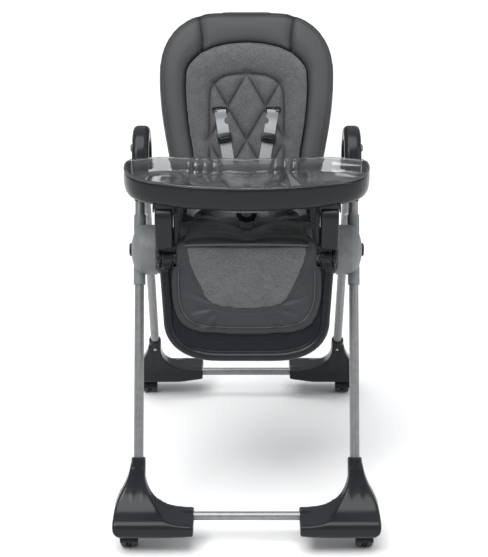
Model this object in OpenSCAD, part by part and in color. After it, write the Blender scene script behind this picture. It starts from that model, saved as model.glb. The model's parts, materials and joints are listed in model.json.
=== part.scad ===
// Folding high chair. Two front legs lean back and turn over at the top into fold caps, and the rear
// legs hang from pins in the caps. The seat hangs between two carriages that slide on the front legs.
// +Z is up, the child faces -Y, and the origin is on the floor in the middle of the base.
// "left" is the side at -X. Each sided part is drawn at +X and mirrored for the left.

/* [Frame] */
// Distance from the middle of the base to the point where each leg line meets the floor
base_y = 400; // [396:1:404]
// Distance from the centre plane to the middle of each leg tube
tube_x = 244; // [243:0.5:245]
// Outside diameter of the leg tubes
tube_d = 22; // [21.6:0.1:22.2]
// Wall thickness of the tubes
tube_wall = 1.5; // [1.2:0.1:2]
// Lean of the front legs from the vertical, in degrees
front_lean = 26; // [25.5:0.1:26.5]
// Distance along the front leg from the floor to the start of the fold arch
front_run = 892; // [888:1:896]
// Radius of the middle line of the fold arch
arch_r = 60; // [59:0.5:61]
// Outside diameter of the crossbars
bar_d = 20; // [19:0.5:21]
// Height of the front crossbar
front_bar_z = 65; // [63:1:67]
// Height of the rear crossbar
rear_bar_z = 71; // [69:1:73]

/* [Casters] */
// Distance from the centre plane to each caster's swivel line
caster_x = 264; // [262:1:266]
// Diameter of the wheels
wheel_d = 38; // [36:0.5:38]
// Distance that the axle trails behind the swivel line
trail = 10; // [8:1:12]

/* [Seat] */
// Height of the disc's middle on each carriage, with the seat at its highest
hub_z = 605; // [600:1:610]
// Diameter of the carriage disc
hub_d = 114; // [110:1:118]
// Height of the armrest tops
arm_top = 748; // [744:1:750]
// Recline of the backrest from the vertical, in degrees
back_lean = 24; // [22:0.5:26]
// Length of the backrest above its hinge
back_h = 525; // [515:1:530]
// Greatest half width of the backrest
back_half = 206; // [200:1:208]

/* [Legrest] */
// Angle at which the legrest hangs forward of the vertical, in degrees
leg_lean = 14; // [12:0.5:16]
// Half width of the legrest at its top
leg_half = 193; // [190:0.5:194]
// Length of the legrest below its hinge
leg_h = 232; // [226:1:236]

/* [Tray] */
// Height of the tray's top edge
tray_top = 810; // [808:1:812]
// Half width of the tray
tray_half = 273.5; // [272:0.5:274]
// Radius of the tray's front edge
tray_front_r = 490; // [480:5:500]
// Radius of the cup recess
cup_r = 32; // [30:0.5:33]

/* [Hidden] */
$fn = 64;
gap = 0.4;               // clearance between moving plastic parts
run_gap = 0.06;          // clearance of a running pin
socket_gap = 0.08;       // clearance of a tube in its socket
pin_r = 4;
tube_r = tube_d / 2;
bar_r = bar_d / 2;

// Fold hinge: the arch is half a turn, so its end lies square to the front leg
front_dir = [sin(front_lean), cos(front_lean)];
front_side = [cos(front_lean), -sin(front_lean)];
hinge = [-base_y, 0] + front_run * front_dir + 2 * arch_r * front_side;
hinge_y = hinge[0];
hinge_z = hinge[1];
rear_lean = atan((base_y - hinge_y) / hinge_z);
rear_run = norm([base_y - hinge_y, hinge_z]);

foot_bottom = 44;        // underside of the corner feet
foot_in = 118;           // inner end of a foot, from the centre plane
bar_y = 30;              // crossbar's distance inward of the leg line's foot
leg_socket = 122;        // bottom of a leg socket, along the leg
bar_end = 186;           // end of a crossbar inside its foot
collar_top = 204;        // top of a foot's collar, along the leg
foot_screw_s = 176;      // height of the screw that holds a foot to its leg, along the leg
stem_r = 5;

cap_w = 39;              // width of a fold cap from side to side
cap_t = 35;              // its thickness across the arch
cap_corner = 12;
cap_start = 782;         // lower end of its sleeve, along the leg
fork_w = 23;             // gap in its hinge fork
knuckle_w = 22.2;
knuckle_r = 15;

hub_s = hub_z / cos(front_lean);
hub_y = -base_y + hub_s * sin(front_lean);
hub_in = 202;            // inner face of a carriage disc
hub_out = 263;           // crown of its outer face
collar_len = 160;        // length of a carriage's sleeve along the leg

leg_pin_y = -205;        // legrest hinge
leg_pin_z = 624;
leg_pin_r = 5;
barrel_r = 16.5;
back_pin_y = 20;         // backrest hinge
back_pin_z = 600;
pan_top = 590;
pan_bottom = 568;
pan_half = 187.6;
pan_front = -188;
pan_back = 36;
arm_in = 162;
arm_out = 200;
side_wall_in = arm_out - 12;

tray_front_y = -280;
tray_back_y = -49;
band_bottom = 760;
clear_floor = 777;
cup_x = -185;
cup_y = -139;
lever_up = 395;          // recline lever's height on the backrest
lever_half = 42;

dark = [0.2, 0.21, 0.23];
grey = [0.42, 0.43, 0.45];
tube_grey = [0.5, 0.51, 0.53];
cloth = [0.25, 0.26, 0.28];
heather = [0.4, 0.41, 0.43];

// ---- drawing helpers ----

// Points of a curve from a to c, drawn towards b
function curve(a, b, c, n = 10) =
    [for (i = [0:n]) let(t = i / n) (1 - t) * (1 - t) * a + 2 * t * (1 - t) * b + t * t * c];

// A squarish quarter curve about centre with half axes ax and ay, from angle 0 to 90
function quarter(centre, ax, ay, power, n = 14) =
    [for (i = [0:n]) let(a = 90 * i / n)
        centre + [ax * pow(cos(a), 2 / power), ay * pow(sin(a), 2 / power)]];

function backwards(pts) = [for (i = [len(pts) - 1:-1:0]) pts[i]];

// An outline and its mirror image, for an outline drawn from the bottom up at x > 0
function both_sides(half) =
    concat(half, [for (i = [len(half) - 1:-1:0]) if (half[i][0] > 0.01) [-half[i][0], half[i][1]]]);

module on_side(side) {
    if (side < 0) mirror([1, 0, 0]) children();
    else children();
}

// A drawing of y and z, made solid from x to x + width
module in_yz(x, width) translate([x, 0, 0]) rotate([90, 0, 90]) linear_extrude(width) children();

// A drawing of x and z, made solid from y to y + depth
module in_xz(y, depth) translate([0, y + depth, 0]) rotate([90, 0, 0]) linear_extrude(depth) children();

// A round bar along X
module x_rod(from, to, r, y, z) translate([from, y, z]) rotate([0, 90, 0]) cylinder(r = r, h = to - from);

// Places children drawn along Z on the front or the rear leg line
module on_front_leg() translate([0, -base_y, 0]) rotate([-front_lean, 0, 0]) children();
module on_rear_leg() translate([0, base_y, 0]) rotate([rear_lean, 0, 0]) children();

// Places children drawn on an upright backrest, or on a hanging legrest, with z = 0 at the hinge
module on_back() translate([0, back_pin_y, back_pin_z]) rotate([-back_lean, 0, 0]) children();
module on_legrest() translate([0, leg_pin_y, leg_pin_z]) rotate([-leg_lean, 0, 0]) children();

// A rear corner is a front corner turned round
module at_corner(end) {
    if (end == "front") translate([0, -base_y, 0]) children();
    else translate([0, base_y, 0]) mirror([0, 1, 0]) children();
}

// ---- frame ----

leg_top = 878;           // upper end of a front leg tube, inside its fold cap
screw_hole_r = 2.1;
screw_head_r = 3.9;
neck_top = 168;          // height where a foot's neck meets its collar

module leg_tube(from, to) translate([tube_x, 0, from]) difference() {
    cylinder(r = tube_r, h = to - from);
    translate([0, 0, -1]) cylinder(r = tube_r - tube_wall, h = to - from + 2);
    // screw hole for the foot, on the inward face
    translate([0, 0, foot_screw_s - from]) rotate([-90, 0, 0]) cylinder(r = screw_hole_r, h = tube_r + 2);
}

module front_leg(side) color(tube_grey) on_side(side) on_front_leg() leg_tube(leg_socket, leg_top);

rivet_runs = [580, 655];     // heights of the rivets along a rear leg
rear_leg_end = rear_run - 22;

// Places children drawn along Z on a leg line, with y pointing inward
module on_leg(end) at_corner(end) rotate([end == "front" ? -front_lean : -rear_lean, 0, 0]) children();

module rear_leg(side) color(tube_grey) on_side(side) on_leg("rear") difference() {
    leg_tube(leg_socket, rear_leg_end);
    for (s = rivet_runs) translate([tube_x, 0, s]) rotate([-90, 0, 0]) cylinder(r = screw_hole_r, h = 30);
}

module rivet() {
    cylinder(r = 2, h = tube_wall + 0.2);
    translate([0, 0, tube_wall + 0.2]) cylinder(r1 = 4, r2 = 2.6, h = 1.6);
}

module crossbar(end, z) color(tube_grey) at_corner(end) difference() {
    x_rod(-bar_end, bar_end, bar_r, bar_y, z);
    x_rod(-bar_end - 1, bar_end + 1, bar_r - tube_wall, bar_y, z);
}

// Front view of a foot, from its inner end round the heel to the collar
function foot_view(bar_z) = concat(
    [[foot_in, bar_z - 14], [190, foot_bottom]],
    curve([275, foot_bottom], [290, foot_bottom], [297, 64]),
    curve([298, 76], [298, 92], [286, 112]),
    curve([276, 128], [264, 150], [262, 170]),
    [for (p = quarter([foot_in, 170], 112, 170 - bar_z - 12, 2.6)) [p[0], 340 - p[1]]]);

// Side view of a foot: a neck on the leaning tube, a toe in front of it and a heel behind
function foot_profile(lean) = let(top = neck_top, y = top * tan(lean)) concat(
    curve([y - 17, top], [y - 50, 92], [-22, 86]),
    curve([-24, 86], [-40, 82], [-40, 64]),
    curve([-40, 60], [-40, foot_bottom], [-26, foot_bottom]),
    curve([38, foot_bottom], [52, foot_bottom], [52, 58]),
    curve([52, 78], [60, 104], [y + 17, top]));

module foot_screw_places(lean) {
    rotate([-lean, 0, 0]) translate([tube_x, 15, foot_screw_s]) rotate([-90, 0, 0]) children();
    translate([214, bar_y, foot_bottom]) rotate([180, 0, 0]) children();
}

module foot(end, side, lean, bar_z) color(dark) at_corner(end) on_side(side) difference() {
    union() {
        intersection() {
            in_xz(-60, 200) polygon(foot_view(bar_z));
            in_yz(foot_in - 1, 190) polygon(foot_profile(lean));
        }
        rotate([-lean, 0, 0]) translate([tube_x, 0, neck_top - 3])
            cylinder(r = tube_r + 5.5, h = collar_top - neck_top + 3);
        x_rod(foot_in, 200, bar_r + 4.5, bar_y, bar_z);
    }
    rotate([-lean, 0, 0]) translate([tube_x, 0, leg_socket - 0.5])
        cylinder(r = tube_r + socket_gap, h = collar_top);
    x_rod(foot_in - 1, bar_end + 0.5, bar_r + socket_gap, bar_y, bar_z);
    translate([caster_x, 0, foot_bottom - 1]) cylinder(r = stem_r + run_gap, h = 27);
    foot_screw_places(lean) {
        translate([0, 0, -8]) cylinder(r = screw_hole_r, h = 14);
        translate([0, 0, -2.4]) cylinder(r = screw_head_r + 0.3, h = 14);
    }
}

module screw() {
    translate([0, 0, -6.8]) cylinder(r = screw_hole_r - 0.1, h = 4.6);
    translate([0, 0, -2.3]) difference() {
        cylinder(r = screw_head_r, h = 2.1);
        translate([0, 0, 1.1]) for (a = [0, 90]) rotate([0, 0, a]) translate([-2.4, -0.5, 0])
            cube([4.8, 1, 2]);
    }
}

module frame_screws() color(tube_grey) for (side = [-1, 1])
    at_corner("front") on_side(side) foot_screw_places(front_lean) screw();

module rear_fixings() color(tube_grey) for (side = [-1, 1]) on_side(side) {
    for (s = rivet_runs)
        on_leg("rear") translate([tube_x, tube_r - tube_wall, s]) rotate([-90, 0, 0]) rivet();
    at_corner("rear") foot_screw_places(rear_lean) screw();
}

// Cross section of a fold cap, with x across the arch and y from side to side
module cap_section() {
    square([cap_t, cap_w - 2 * cap_corner], center = true);
    square([cap_t - 2 * cap_corner, cap_w], center = true);
    for (x = [-1, 1], y = [-1, 1])
        translate([x * (cap_t / 2 - cap_corner), y * (cap_w / 2 - cap_corner)]) circle(r = cap_corner);
}

button_s = front_run + 16;   // fold button's place along the leg line
button_y = 3.2;
button_r = 9;

module fold_cap(side) color(dark) on_side(side) on_front_leg() translate([tube_x, 0, 0]) difference() {
    union() {
        translate([0, 0, cap_start]) cylinder(r1 = 12.8, r2 = cap_t / 2, h = 66);
        translate([0, 0, 846]) rotate([0, 0, 90]) linear_extrude(front_run - 846) cap_section();
        translate([0, arch_r, front_run]) rotate([90, 0, 90]) rotate_extrude(angle = 180)
            translate([arch_r, 0]) cap_section();
        translate([0, 2 * arch_r, front_run]) x_rod(-cap_w / 2, cap_w / 2, cap_t / 2, 0, 0);
    }
    translate([0, 0, cap_start - 1]) cylinder(r = tube_r + socket_gap, h = leg_top - cap_start + 1.5);
    translate([0, 2 * arch_r, front_run]) {
        x_rod(-fork_w / 2, fork_w / 2, knuckle_r + 2, 0, 0);
        translate([-fork_w / 2, -20, -20]) cube([fork_w, 40, 20]);
        x_rod(-30, 30, pin_r + run_gap, 0, 0);
    }
    translate([0, button_y, button_s]) x_rod(cap_w / 2 - 9, 30, button_r + gap, 0, 0);
}

module fold_button(side) color(grey) on_side(side) on_front_leg()
    translate([tube_x, button_y, button_s]) {
        x_rod(cap_w / 2 - 4, cap_w / 2 + 1.5, button_r, 0, 0);
        translate([cap_w / 2 + 1.5, 0, 0]) rotate([0, 90, 0]) cylinder(r1 = button_r, r2 = button_r - 1.6, h = 1.5);
    }

module fold_pins() color(tube_grey) for (side = [-1, 1]) on_side(side) {
    x_rod(tube_x - cap_w / 2 - 1, tube_x + cap_w / 2 + 1, pin_r, hinge_y, hinge_z);
    for (x = [tube_x - cap_w / 2 - 3, tube_x + cap_w / 2 + 0.2])
        x_rod(x, x + 2.8, 6.5, hinge_y, hinge_z);
}

// Knuckle at the top of a rear leg: an eye for the pin and a plug inside the tube
module rear_knuckles() color(dark) for (side = [-1, 1]) on_side(side) on_rear_leg()
    translate([tube_x, 0, rear_run]) difference() {
        union() {
            x_rod(-knuckle_w / 2, knuckle_w / 2, knuckle_r, 0, 0);
            translate([0, 0, -21.8]) cylinder(r = tube_r, h = 20);
            translate([0, 0, -60]) cylinder(r = tube_r - tube_wall - socket_gap, h = 50);
        }
        x_rod(-30, 30, pin_r + run_gap, 0, 0);
    }

// ---- casters ----

wheel_r = wheel_d / 2;
hood_r = wheel_r + 3.5;
web_w = 9;

module caster_fork(end, side) color(dark) at_corner(end) on_side(side) translate([caster_x, 0, 0]) {
    difference() {
        union() {
            cylinder(r = stem_r, h = 66);
            translate([0, trail, wheel_r]) {
                x_rod(-web_w / 2, web_w / 2, wheel_r - 5, 0, 0);
                translate([-web_w / 2, -trail - 8, 0]) cube([web_w, 26, hood_r - 2]);
                // the hood over both wheels
                intersection() {
                    difference() {
                        x_rod(-19.5, 19.5, hood_r, 0, 0);
                        x_rod(-20, 20, hood_r - 2.6, 0, 0);
                    }
                    translate([-20, -30, 2]) cube([40, 60, 30]);
                }
            }
            translate([0, 0, wheel_r + 14]) cylinder(r = 8.5, h = foot_bottom - 0.5 - wheel_r - 14);
        }
        translate([0, 0, -1]) cylinder(r = 30, h = 6);
        for (s = [-1, 1]) on_side(s) x_rod(web_w / 2, 22, wheel_r + 0.8, trail, wheel_r);
        x_rod(-25, 25, 3 + run_gap, trail, wheel_r);
    }
}

module caster_wheels(end, side) color(dark) at_corner(end) on_side(side) translate([caster_x, trail, 0]) {
    x_rod(-18, 18, 3, 0, wheel_r);
    for (s = [-1, 1]) on_side(s) translate([web_w / 2 + 0.8, 0, wheel_r]) rotate([0, 90, 0])
        difference() {
            rotate_extrude() polygon(concat([[3.05, 0], [wheel_r - 2, 0]],
                curve([wheel_r, 2], [wheel_r, 13], [wheel_r - 5, 13.4]), [[3.05, 13.4]]));
            translate([0, 0, 11.4]) difference() {
                cylinder(r = wheel_r - 7, h = 4);
                cylinder(r = 6, h = 4);
            }
        }
}

module brake_tab(side) color(grey) at_corner("rear") on_side(side) translate([caster_x, -14, 0]) {
    x_rod(-11, 11, 2.4, 0, 45.2 - 4.6);
    translate([-11, -15, 37.6]) cube([22, 13.4, 3]);
}

// ---- seat ----

hub_button_r = 15;
bolt_r = 2.5;
bolt_ring = 34;          // distance of the seat bolts from the disc's middle

module carriage(side) color(grey) on_side(side) difference() {
    union() {
        on_front_leg() translate([tube_x, 0, hub_s - collar_len / 2]) cylinder(r = 13.7, h = collar_len);
        translate([hub_in, hub_y, hub_z]) rotate([0, 90, 0]) rotate_extrude() polygon(concat(
            [[0, 0], [hub_d / 2 - 3, 0], [hub_d / 2, 3]],
            [[hub_d / 2, 34]], curve([hub_d / 2, 36], [hub_d / 2 - 4, 50], [30, 57]),
            curve([28, 57.4], [16, hub_out - hub_in], [0, hub_out - hub_in])));
    }
    on_front_leg() translate([tube_x, 0, hub_s - collar_len])
        cylinder(r = tube_r + socket_gap, h = 2 * collar_len);
    x_rod(hub_out - 6.6, hub_out + 5, hub_button_r + gap, hub_y, hub_z);
    bolt_places() x_rod(arm_in, hub_in + 14, bolt_r + 0.1, 0, 0);
}

module bolt_places() for (a = [20, 90, 160])
    translate([0, hub_y + bolt_ring * cos(a), hub_z + bolt_ring * sin(a)]) children();

module height_button(side) color(dark) on_side(side) translate([hub_out - 2.8, hub_y, hub_z])
    rotate([0, 90, 0]) {
        cylinder(r = hub_button_r, h = 5.4);
        translate([0, 0, 5.4]) cylinder(r1 = hub_button_r, r2 = hub_button_r - 2.5, h = 1.6);
    }

module seat_bolts() color(tube_grey) for (side = [-1, 1]) on_side(side) bolt_places() {
    x_rod(side_wall_in, hub_in + 13, bolt_r, 0, 0);
    x_rod(side_wall_in - 3.6, side_wall_in, 2 * bolt_r, 0, 0);
}

strap_w = 27;            // width and thickness of the harness webbing
strap_t = 3;
crotch_y = -88;          // middle of the crotch strap

module strap_slot(from, height) translate([-strap_w / 2 - 2.5, crotch_y - 4, from])
    cube([strap_w + 5, 8, height]);

module seat_pan() color(dark) difference() {
    union() {
        translate([-pan_half, pan_front, pan_bottom])
            cube([2 * pan_half, pan_back - pan_front, pan_top - pan_bottom]);
        for (side = [-1, 1]) on_side(side) {
            // ears for the legrest pins
            in_yz(156, 7.4) union() {
                translate([leg_pin_y, leg_pin_z]) circle(r = 13.5);
                polygon([[-203, 636], [-193, 611], [-186, 600], [-186, pan_bottom],
                    [-170, pan_bottom], [-170, pan_top], [-186, 636]]);
            }
            // ears for the backrest pins
            in_yz(167, 13) union() {
                translate([back_pin_y, back_pin_z]) circle(r = 14);
                translate([back_pin_y - 14, pan_bottom]) square([28, back_pin_z - pan_bottom]);
            }
        }
    }
    translate([-pan_half + 4, pan_front + 4, pan_bottom - 1])
        cube([2 * pan_half - 8, pan_back - pan_front - 8, pan_top - pan_bottom - 3]);
    // room for the backrest's ears
    for (side = [-1, 1]) on_side(side) translate([148.5, 2, pan_bottom - 1]) cube([17, 60, 40]);
    x_rod(-200, 200, leg_pin_r + run_gap, leg_pin_y, leg_pin_z);
    for (side = [-1, 1]) on_side(side) x_rod(166, 190, pin_r + run_gap, back_pin_y, back_pin_z);
    strap_slot(pan_top - 6, 10);
}

// Side view of an armrest's top rail and front post
function rail_profile() = concat(
    curve([-230, 651], [-240, 652], [-243, 690]),
    curve([-246, 720], [-248, arm_top], [-226, arm_top]),
    curve([16, arm_top], [34, arm_top], [34, arm_top - 12]),
    curve([34, arm_top - 16], [30, arm_top - 26], [14, arm_top - 26]),
    curve([-160, arm_top - 26], [-184, arm_top - 28], [-188, 651]));

function side_profile() = concat(
    [[-222, 651], [-206, 648], [-196, 604]], curve([-190, 590], [-182, pan_bottom], [-150, pan_bottom]),
    curve([20, pan_bottom], [52, pan_bottom], [50, 610]), [[33, arm_top - 14], [-200, arm_top - 14]]);

module armrest(side) color(dark) on_side(side) difference() {
    union() {
        in_yz(arm_in, side_wall_in - arm_in) polygon(rail_profile());
        in_yz(side_wall_in, arm_out - side_wall_in) union() {
            polygon(rail_profile());
            polygon(side_profile());
            translate([leg_pin_y, leg_pin_z]) circle(r = barrel_r);
        }
        x_rod(arm_out, hub_in, hub_d / 2 - 10, hub_y, hub_z);
    }
    x_rod(100, 196, leg_pin_r + run_gap, leg_pin_y, leg_pin_z);
    bolt_places() x_rod(arm_in, hub_in + 14, bolt_r + 0.1, 0, 0);
}

// Side view of the cushion: a raised nose at the front, hollow at the back
cushion_half = 155.4;
function cushion_profile() = concat(
    curve([-188, 641], [-220, 640], [-224, 655]), curve([-226, 664], [-222, 675], [-200, 672]),
    curve([-150, 662], [-60, 640], [2, 641]), [[2, pan_top + 0.4], [-168, pan_top + 0.4], [-184, 636]]);

module seat_cushion() color(cloth) difference() {
    in_yz(-cushion_half, 2 * cushion_half) polygon(cushion_profile());
    strap_slot(pan_top - 10, 100);
}

module crotch_strap() color(grey) translate([-strap_w / 2, crotch_y - strap_t / 2, pan_top + 0.5])
    cube([strap_w, strap_t, 82]);

buckle_y = -100;
buckle_z = 673;
buckle_button_r = 12;
module buckle() color(dark) difference() {
    translate([0, buckle_y, buckle_z]) rotate([90, 0, 0]) translate([0, 22, -7]) difference() {
        union() {
            cylinder(r = 24, h = 13);
            translate([-18, -21, 0]) cube([36, 20, 13]);
        }
        translate([0, 2, 8]) cylinder(r = buckle_button_r + gap, h = 8);
    }
    translate([-strap_w / 2 - gap, crotch_y - 2, pan_top + 10]) cube([strap_w + 2 * gap, 4, 73.2]);
}

module buckle_button() color(grey) translate([0, buckle_y, buckle_z]) rotate([90, 0, 0])
    translate([0, 24, 4.2]) cylinder(r = buckle_button_r, h = 4.4);

module waist_straps() color(grey) for (side = [-1, 1]) on_side(side) in_xz(buckle_y - 1, strap_t)
    polygon([[24.6, 687], [140, 676], [140, 702], [24.6, 711]]);

// ---- backrest, drawn upright ----

// Half width of the backrest at a height above its hinge
widest_up = 370;
function back_width(up) = back_half - 23 * (1 - cos(180 * (widest_up - up) / widest_up));
function back_outline(inset, bottom) = both_sides(concat(
    [for (i = [0:12]) let(up = bottom + (widest_up - bottom) * i / 12) [back_width(up) - inset, up]],
    [for (p = quarter([60, widest_up + 10], back_half - 60 - inset, back_h - widest_up - 10 - inset, 2.2))
        p], [[0, back_h - inset]]));

slot_up = 302;           // middle of the strap slots
slot_x = 62;
slot_w = strap_w + 3;
slot_h = 8;
ear_x = 150;             // inner face of the backrest's hinge ears
ear_w = 14;

// Layers of the backrest, from the child's side to the back
insert_front = -24;
pad_front = -10;
shell_front = 26;
shell_depth = 34;
shell_wall = 4;

module strap_slots(y, depth) for (side = [-1, 1])
    translate([side * slot_x - slot_w / 2, y, slot_up - slot_h / 2]) cube([slot_w, depth, slot_h]);

module backrest_shell() color(dark) on_back() difference() {
    union() {
        in_xz(shell_front, shell_depth) polygon(back_outline(5, 34));
        for (side = [-1, 1]) on_side(side) in_yz(ear_x, ear_w) union() {
            circle(r = ear_w);
            polygon([[-4, 13], [13, -5], [50, 38], [50, 54], [27, 54], [27, 34]]);
        }
    }
    in_xz(shell_front - 6, shell_depth + 6 - shell_wall) polygon(back_outline(5 + shell_wall, 50));
    for (side = [-1, 1]) on_side(side) x_rod(ear_x - 5, ear_x + 35, pin_r + run_gap, 0, 0);
    strap_slots(50, 20);
    // window for the recline lever
    translate([-lever_half - 2, 50, lever_up - 14]) cube([2 * lever_half + 4, 20, 34]);
}

module backrest_pad() color(cloth) on_back() difference() {
    in_xz(pad_front, shell_front - pad_front - gap) polygon(back_outline(0, 36));
    strap_slots(-20, 50);
}

insert_top = 451;        // top of the heather insert's arch
module back_insert() color(heather) on_back() difference() {
    in_xz(insert_front, pad_front - insert_front - gap) polygon(both_sides(concat([[112, 44], [122, 120], [136, 330]],
        quarter([40, 352], 97, insert_top - 352, 2.2), [[0, insert_top]])));
    strap_slots(-30, 50);
}

// A webbing strap that comes forward through its slot and hangs down the insert
module shoulder_strap(side) color(grey) on_side(side) on_back() in_yz(slot_x - strap_w / 2, strap_w)
    polygon([[50, slot_up + 1.5], [-27, slot_up + 1.5], [-30, slot_up - 1.5], [-30, 130],
        [-27.5, 130], [-27.5, slot_up - 1.5], [50, slot_up - 1.5]]);

module strap_sliders() color(dark) for (side = [-1, 1]) on_side(side) on_back()
    difference() {
        translate([slot_x - 18, -34, 228]) cube([36, 9.6, 34]);
        translate([slot_x - 13.8, -30.3, 220]) cube([27.6, 3.1, 50]);
        translate([slot_x - 12, -40, 246]) cube([24, 9, 8]);
    }

module recline_lever() color(grey) on_back() difference() {
    translate([-lever_half, 57, lever_up - 12]) cube([2 * lever_half, 11, 18]);
    translate([-lever_half + 8, 60, lever_up - 13]) cube([2 * lever_half - 16, 9, 12]);
}

module recline_pins() color(tube_grey) for (side = [-1, 1]) on_side(side) {
    x_rod(ear_x - 1, 182, pin_r, back_pin_y, back_pin_z);
    x_rod(ear_x - 4.2, ear_x - 1, 6.5, back_pin_y, back_pin_z);
}

// ---- legrest, drawn hanging straight down from its hinge ----

rim_w = 21;              // width of the legrest's rim
leg_shell_half = 16;     // half the thickness of its shell
legrest_top = -22;
function leg_curve(inset) = [for (p = quarter([58, 96 - leg_h], leg_half - 8 - 58 - inset, 96 - inset, 2.3))
    [p[0], 2 * (96 - leg_h) - p[1]]];
function leg_shape(inset, top) = let(half = concat([[leg_half - inset, top]], leg_curve(inset)))
    concat(half, [for (i = [len(half) - 1:-1:0]) [-half[i][0], half[i][1]]]);

module legrest_shell() color(dark) on_legrest() difference() {
    union() {
        in_xz(-leg_shell_half, 2 * leg_shell_half) polygon(leg_shape(0, legrest_top));
        for (side = [-1, 1]) on_side(side) {
            x_rod(164, 187.4, barrel_r, 0, 0);
            in_yz(166, 21) polygon([[-13, 0], [-15, legrest_top - 4], [15, legrest_top - 4], [13, 0]]);
        }
    }
    // dished front, and a hollow back
    in_xz(-20, 24) polygon(leg_shape(rim_w, legrest_top + 1));
    in_xz(7, 12) polygon(leg_shape(5, legrest_top - 5));
    for (side = [-1, 1]) on_side(side) x_rod(160, 190, leg_pin_r + run_gap, 0, 0);
}

module legrest_pad() color(cloth) on_legrest() in_xz(-11, 14.6) polygon(leg_shape(rim_w + 0.6, legrest_top - 2));

module leg_flap() color(heather) on_legrest() in_xz(-26, 14.5) polygon(concat(
    [[-124, -26], [124, -26]],
    [for (p = quarter([30, -30], 92, 78, 2.4)) [p[0], -60 - p[1]]],
    [for (p = backwards(quarter([30, -30], 92, 78, 2.4))) [-p[0], -60 - p[1]]]));

module legrest_pins() color(tube_grey) for (side = [-1, 1]) on_side(side) {
    x_rod(155.6, 195.5, leg_pin_r, leg_pin_y, leg_pin_z);
    x_rod(152.4, 155.6, 8, leg_pin_y, leg_pin_z);
}

// ---- tray ----

function tray_outline(d) = let(
    half = tray_half - d, r = tray_front_r - d, cy = tray_front_y + tray_front_r,
    x0 = half - 65.5, drop = sqrt(r * r - x0 * x0), y0 = cy - drop, a0 = asin(x0 / r))
    both_sides(concat([[0, cy - r]],
        [for (i = [1:9]) [r * sin(a0 * i / 10), cy - r * cos(a0 * i / 10)]],
        curve([x0, y0], [half, y0 + 65.5 * x0 / drop], [half, -112]),
        curve([half, -108], [half, tray_back_y - d], [half - 54.5, tray_back_y - d]),
        curve([half - 60, tray_back_y - d], [110, tray_back_y - d - 3], [0.5, tray_back_y - 19 - d])));

module tray_slab(d, from, to) translate([0, 0, from]) linear_extrude(to - from) polygon(tray_outline(d));

rail_y = -236;
rail_len = 120;

module tray_base() color(dark) difference() {
    union() {
        difference() {
            tray_slab(1, band_bottom, tray_top - 4.4);
            tray_slab(4, band_bottom - 1, tray_top);
            // the band is open towards the child
            translate([-214, -110, band_bottom - 1]) cube([428, 120, 60]);
        }
        // ledge under the clear tray
        difference() {
            tray_slab(3.5, 772, 776.4);
            tray_slab(14, 770, 780);
            translate([-214, -110, 760]) cube([428, 120, 60]);
        }
    }
    translate([-cup_r - 6 + cup_x, cup_y - cup_r - 6, 762]) cube([2 * cup_r + 12, 2 * cup_r + 12, 15]);
}

// Channels that run on the armrests, joined at the front by a bar that hangs from the ledge
module tray_rails() color(dark) {
    for (side = [-1, 1]) on_side(side) difference() {
        translate([arm_in - 4, rail_y, arm_top - 8]) cube([arm_out - arm_in + 8, rail_len, 14]);
        translate([arm_in - 0.6, rail_y - 1, arm_top - 9])
            cube([arm_out - arm_in + 1.2, rail_len + 2, 9 + gap]);
    }
    translate([-arm_out, rail_y, arm_top + 6]) cube([2 * arm_out, 24, 5]);
    for (x = [-arm_out, arm_out - 30]) translate([x, rail_y + 6, arm_top + 11]) cube([30, 10, 12.6]);
    // guides for the release lever
    for (x = [-52, 44]) translate([x, rail_y - 24, arm_top + 6]) cube([8, 25, 11]);
}

// The lever that frees the tray, between its guides
module tray_release() color(grey) {
    translate([-43.4, rail_y - 12, arm_top + 7]) cube([86.8, 11.4, 8]);
    translate([-38, rail_y - 8, arm_top - 6]) cube([76, 5, 14]);
}

cup_wall = 2.4;
cup_step = 9;            // height of the raised ring round the cup recess
cup_drop = 4.6;          // depth of the recess below the tray's floor
divider_x = 215;         // middle of the divider's arc
divider_y = -115;
divider_r = 150;
divider_h = 13;

module cup_ring() translate([cup_x, cup_y, clear_floor])
    cylinder(r1 = cup_r + 25, r2 = cup_r + 22, h = cup_step);

module divider() intersection() {
    translate([divider_x, divider_y, clear_floor]) difference() {
        cylinder(r = divider_r, h = divider_h);
        translate([0, 0, -1]) cylinder(r = divider_r - 3, h = 16);
    }
    translate([divider_x - divider_r, -252, clear_floor]) cube([150, 200, divider_h]);
}

module clear_tray() color([0.55, 0.56, 0.58, 0.6]) difference() {
    union() {
        difference() {
            union() {
                tray_slab(0, tray_top - 4, tray_top);
                tray_slab(6, clear_floor, tray_top - 3);
            }
            tray_slab(8.4, clear_floor + 2.6, tray_top + 1);
        }
        cup_ring();
        translate([cup_x, cup_y, clear_floor - cup_drop - cup_wall])
            cylinder(r = cup_r + cup_wall, h = cup_drop + cup_wall + 1);
        intersection() {
            divider();
            tray_slab(8, clear_floor, tray_top);
        }
    }
    translate([cup_x, cup_y, clear_floor - cup_drop]) cylinder(r = cup_r, h = 30);
}

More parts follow.
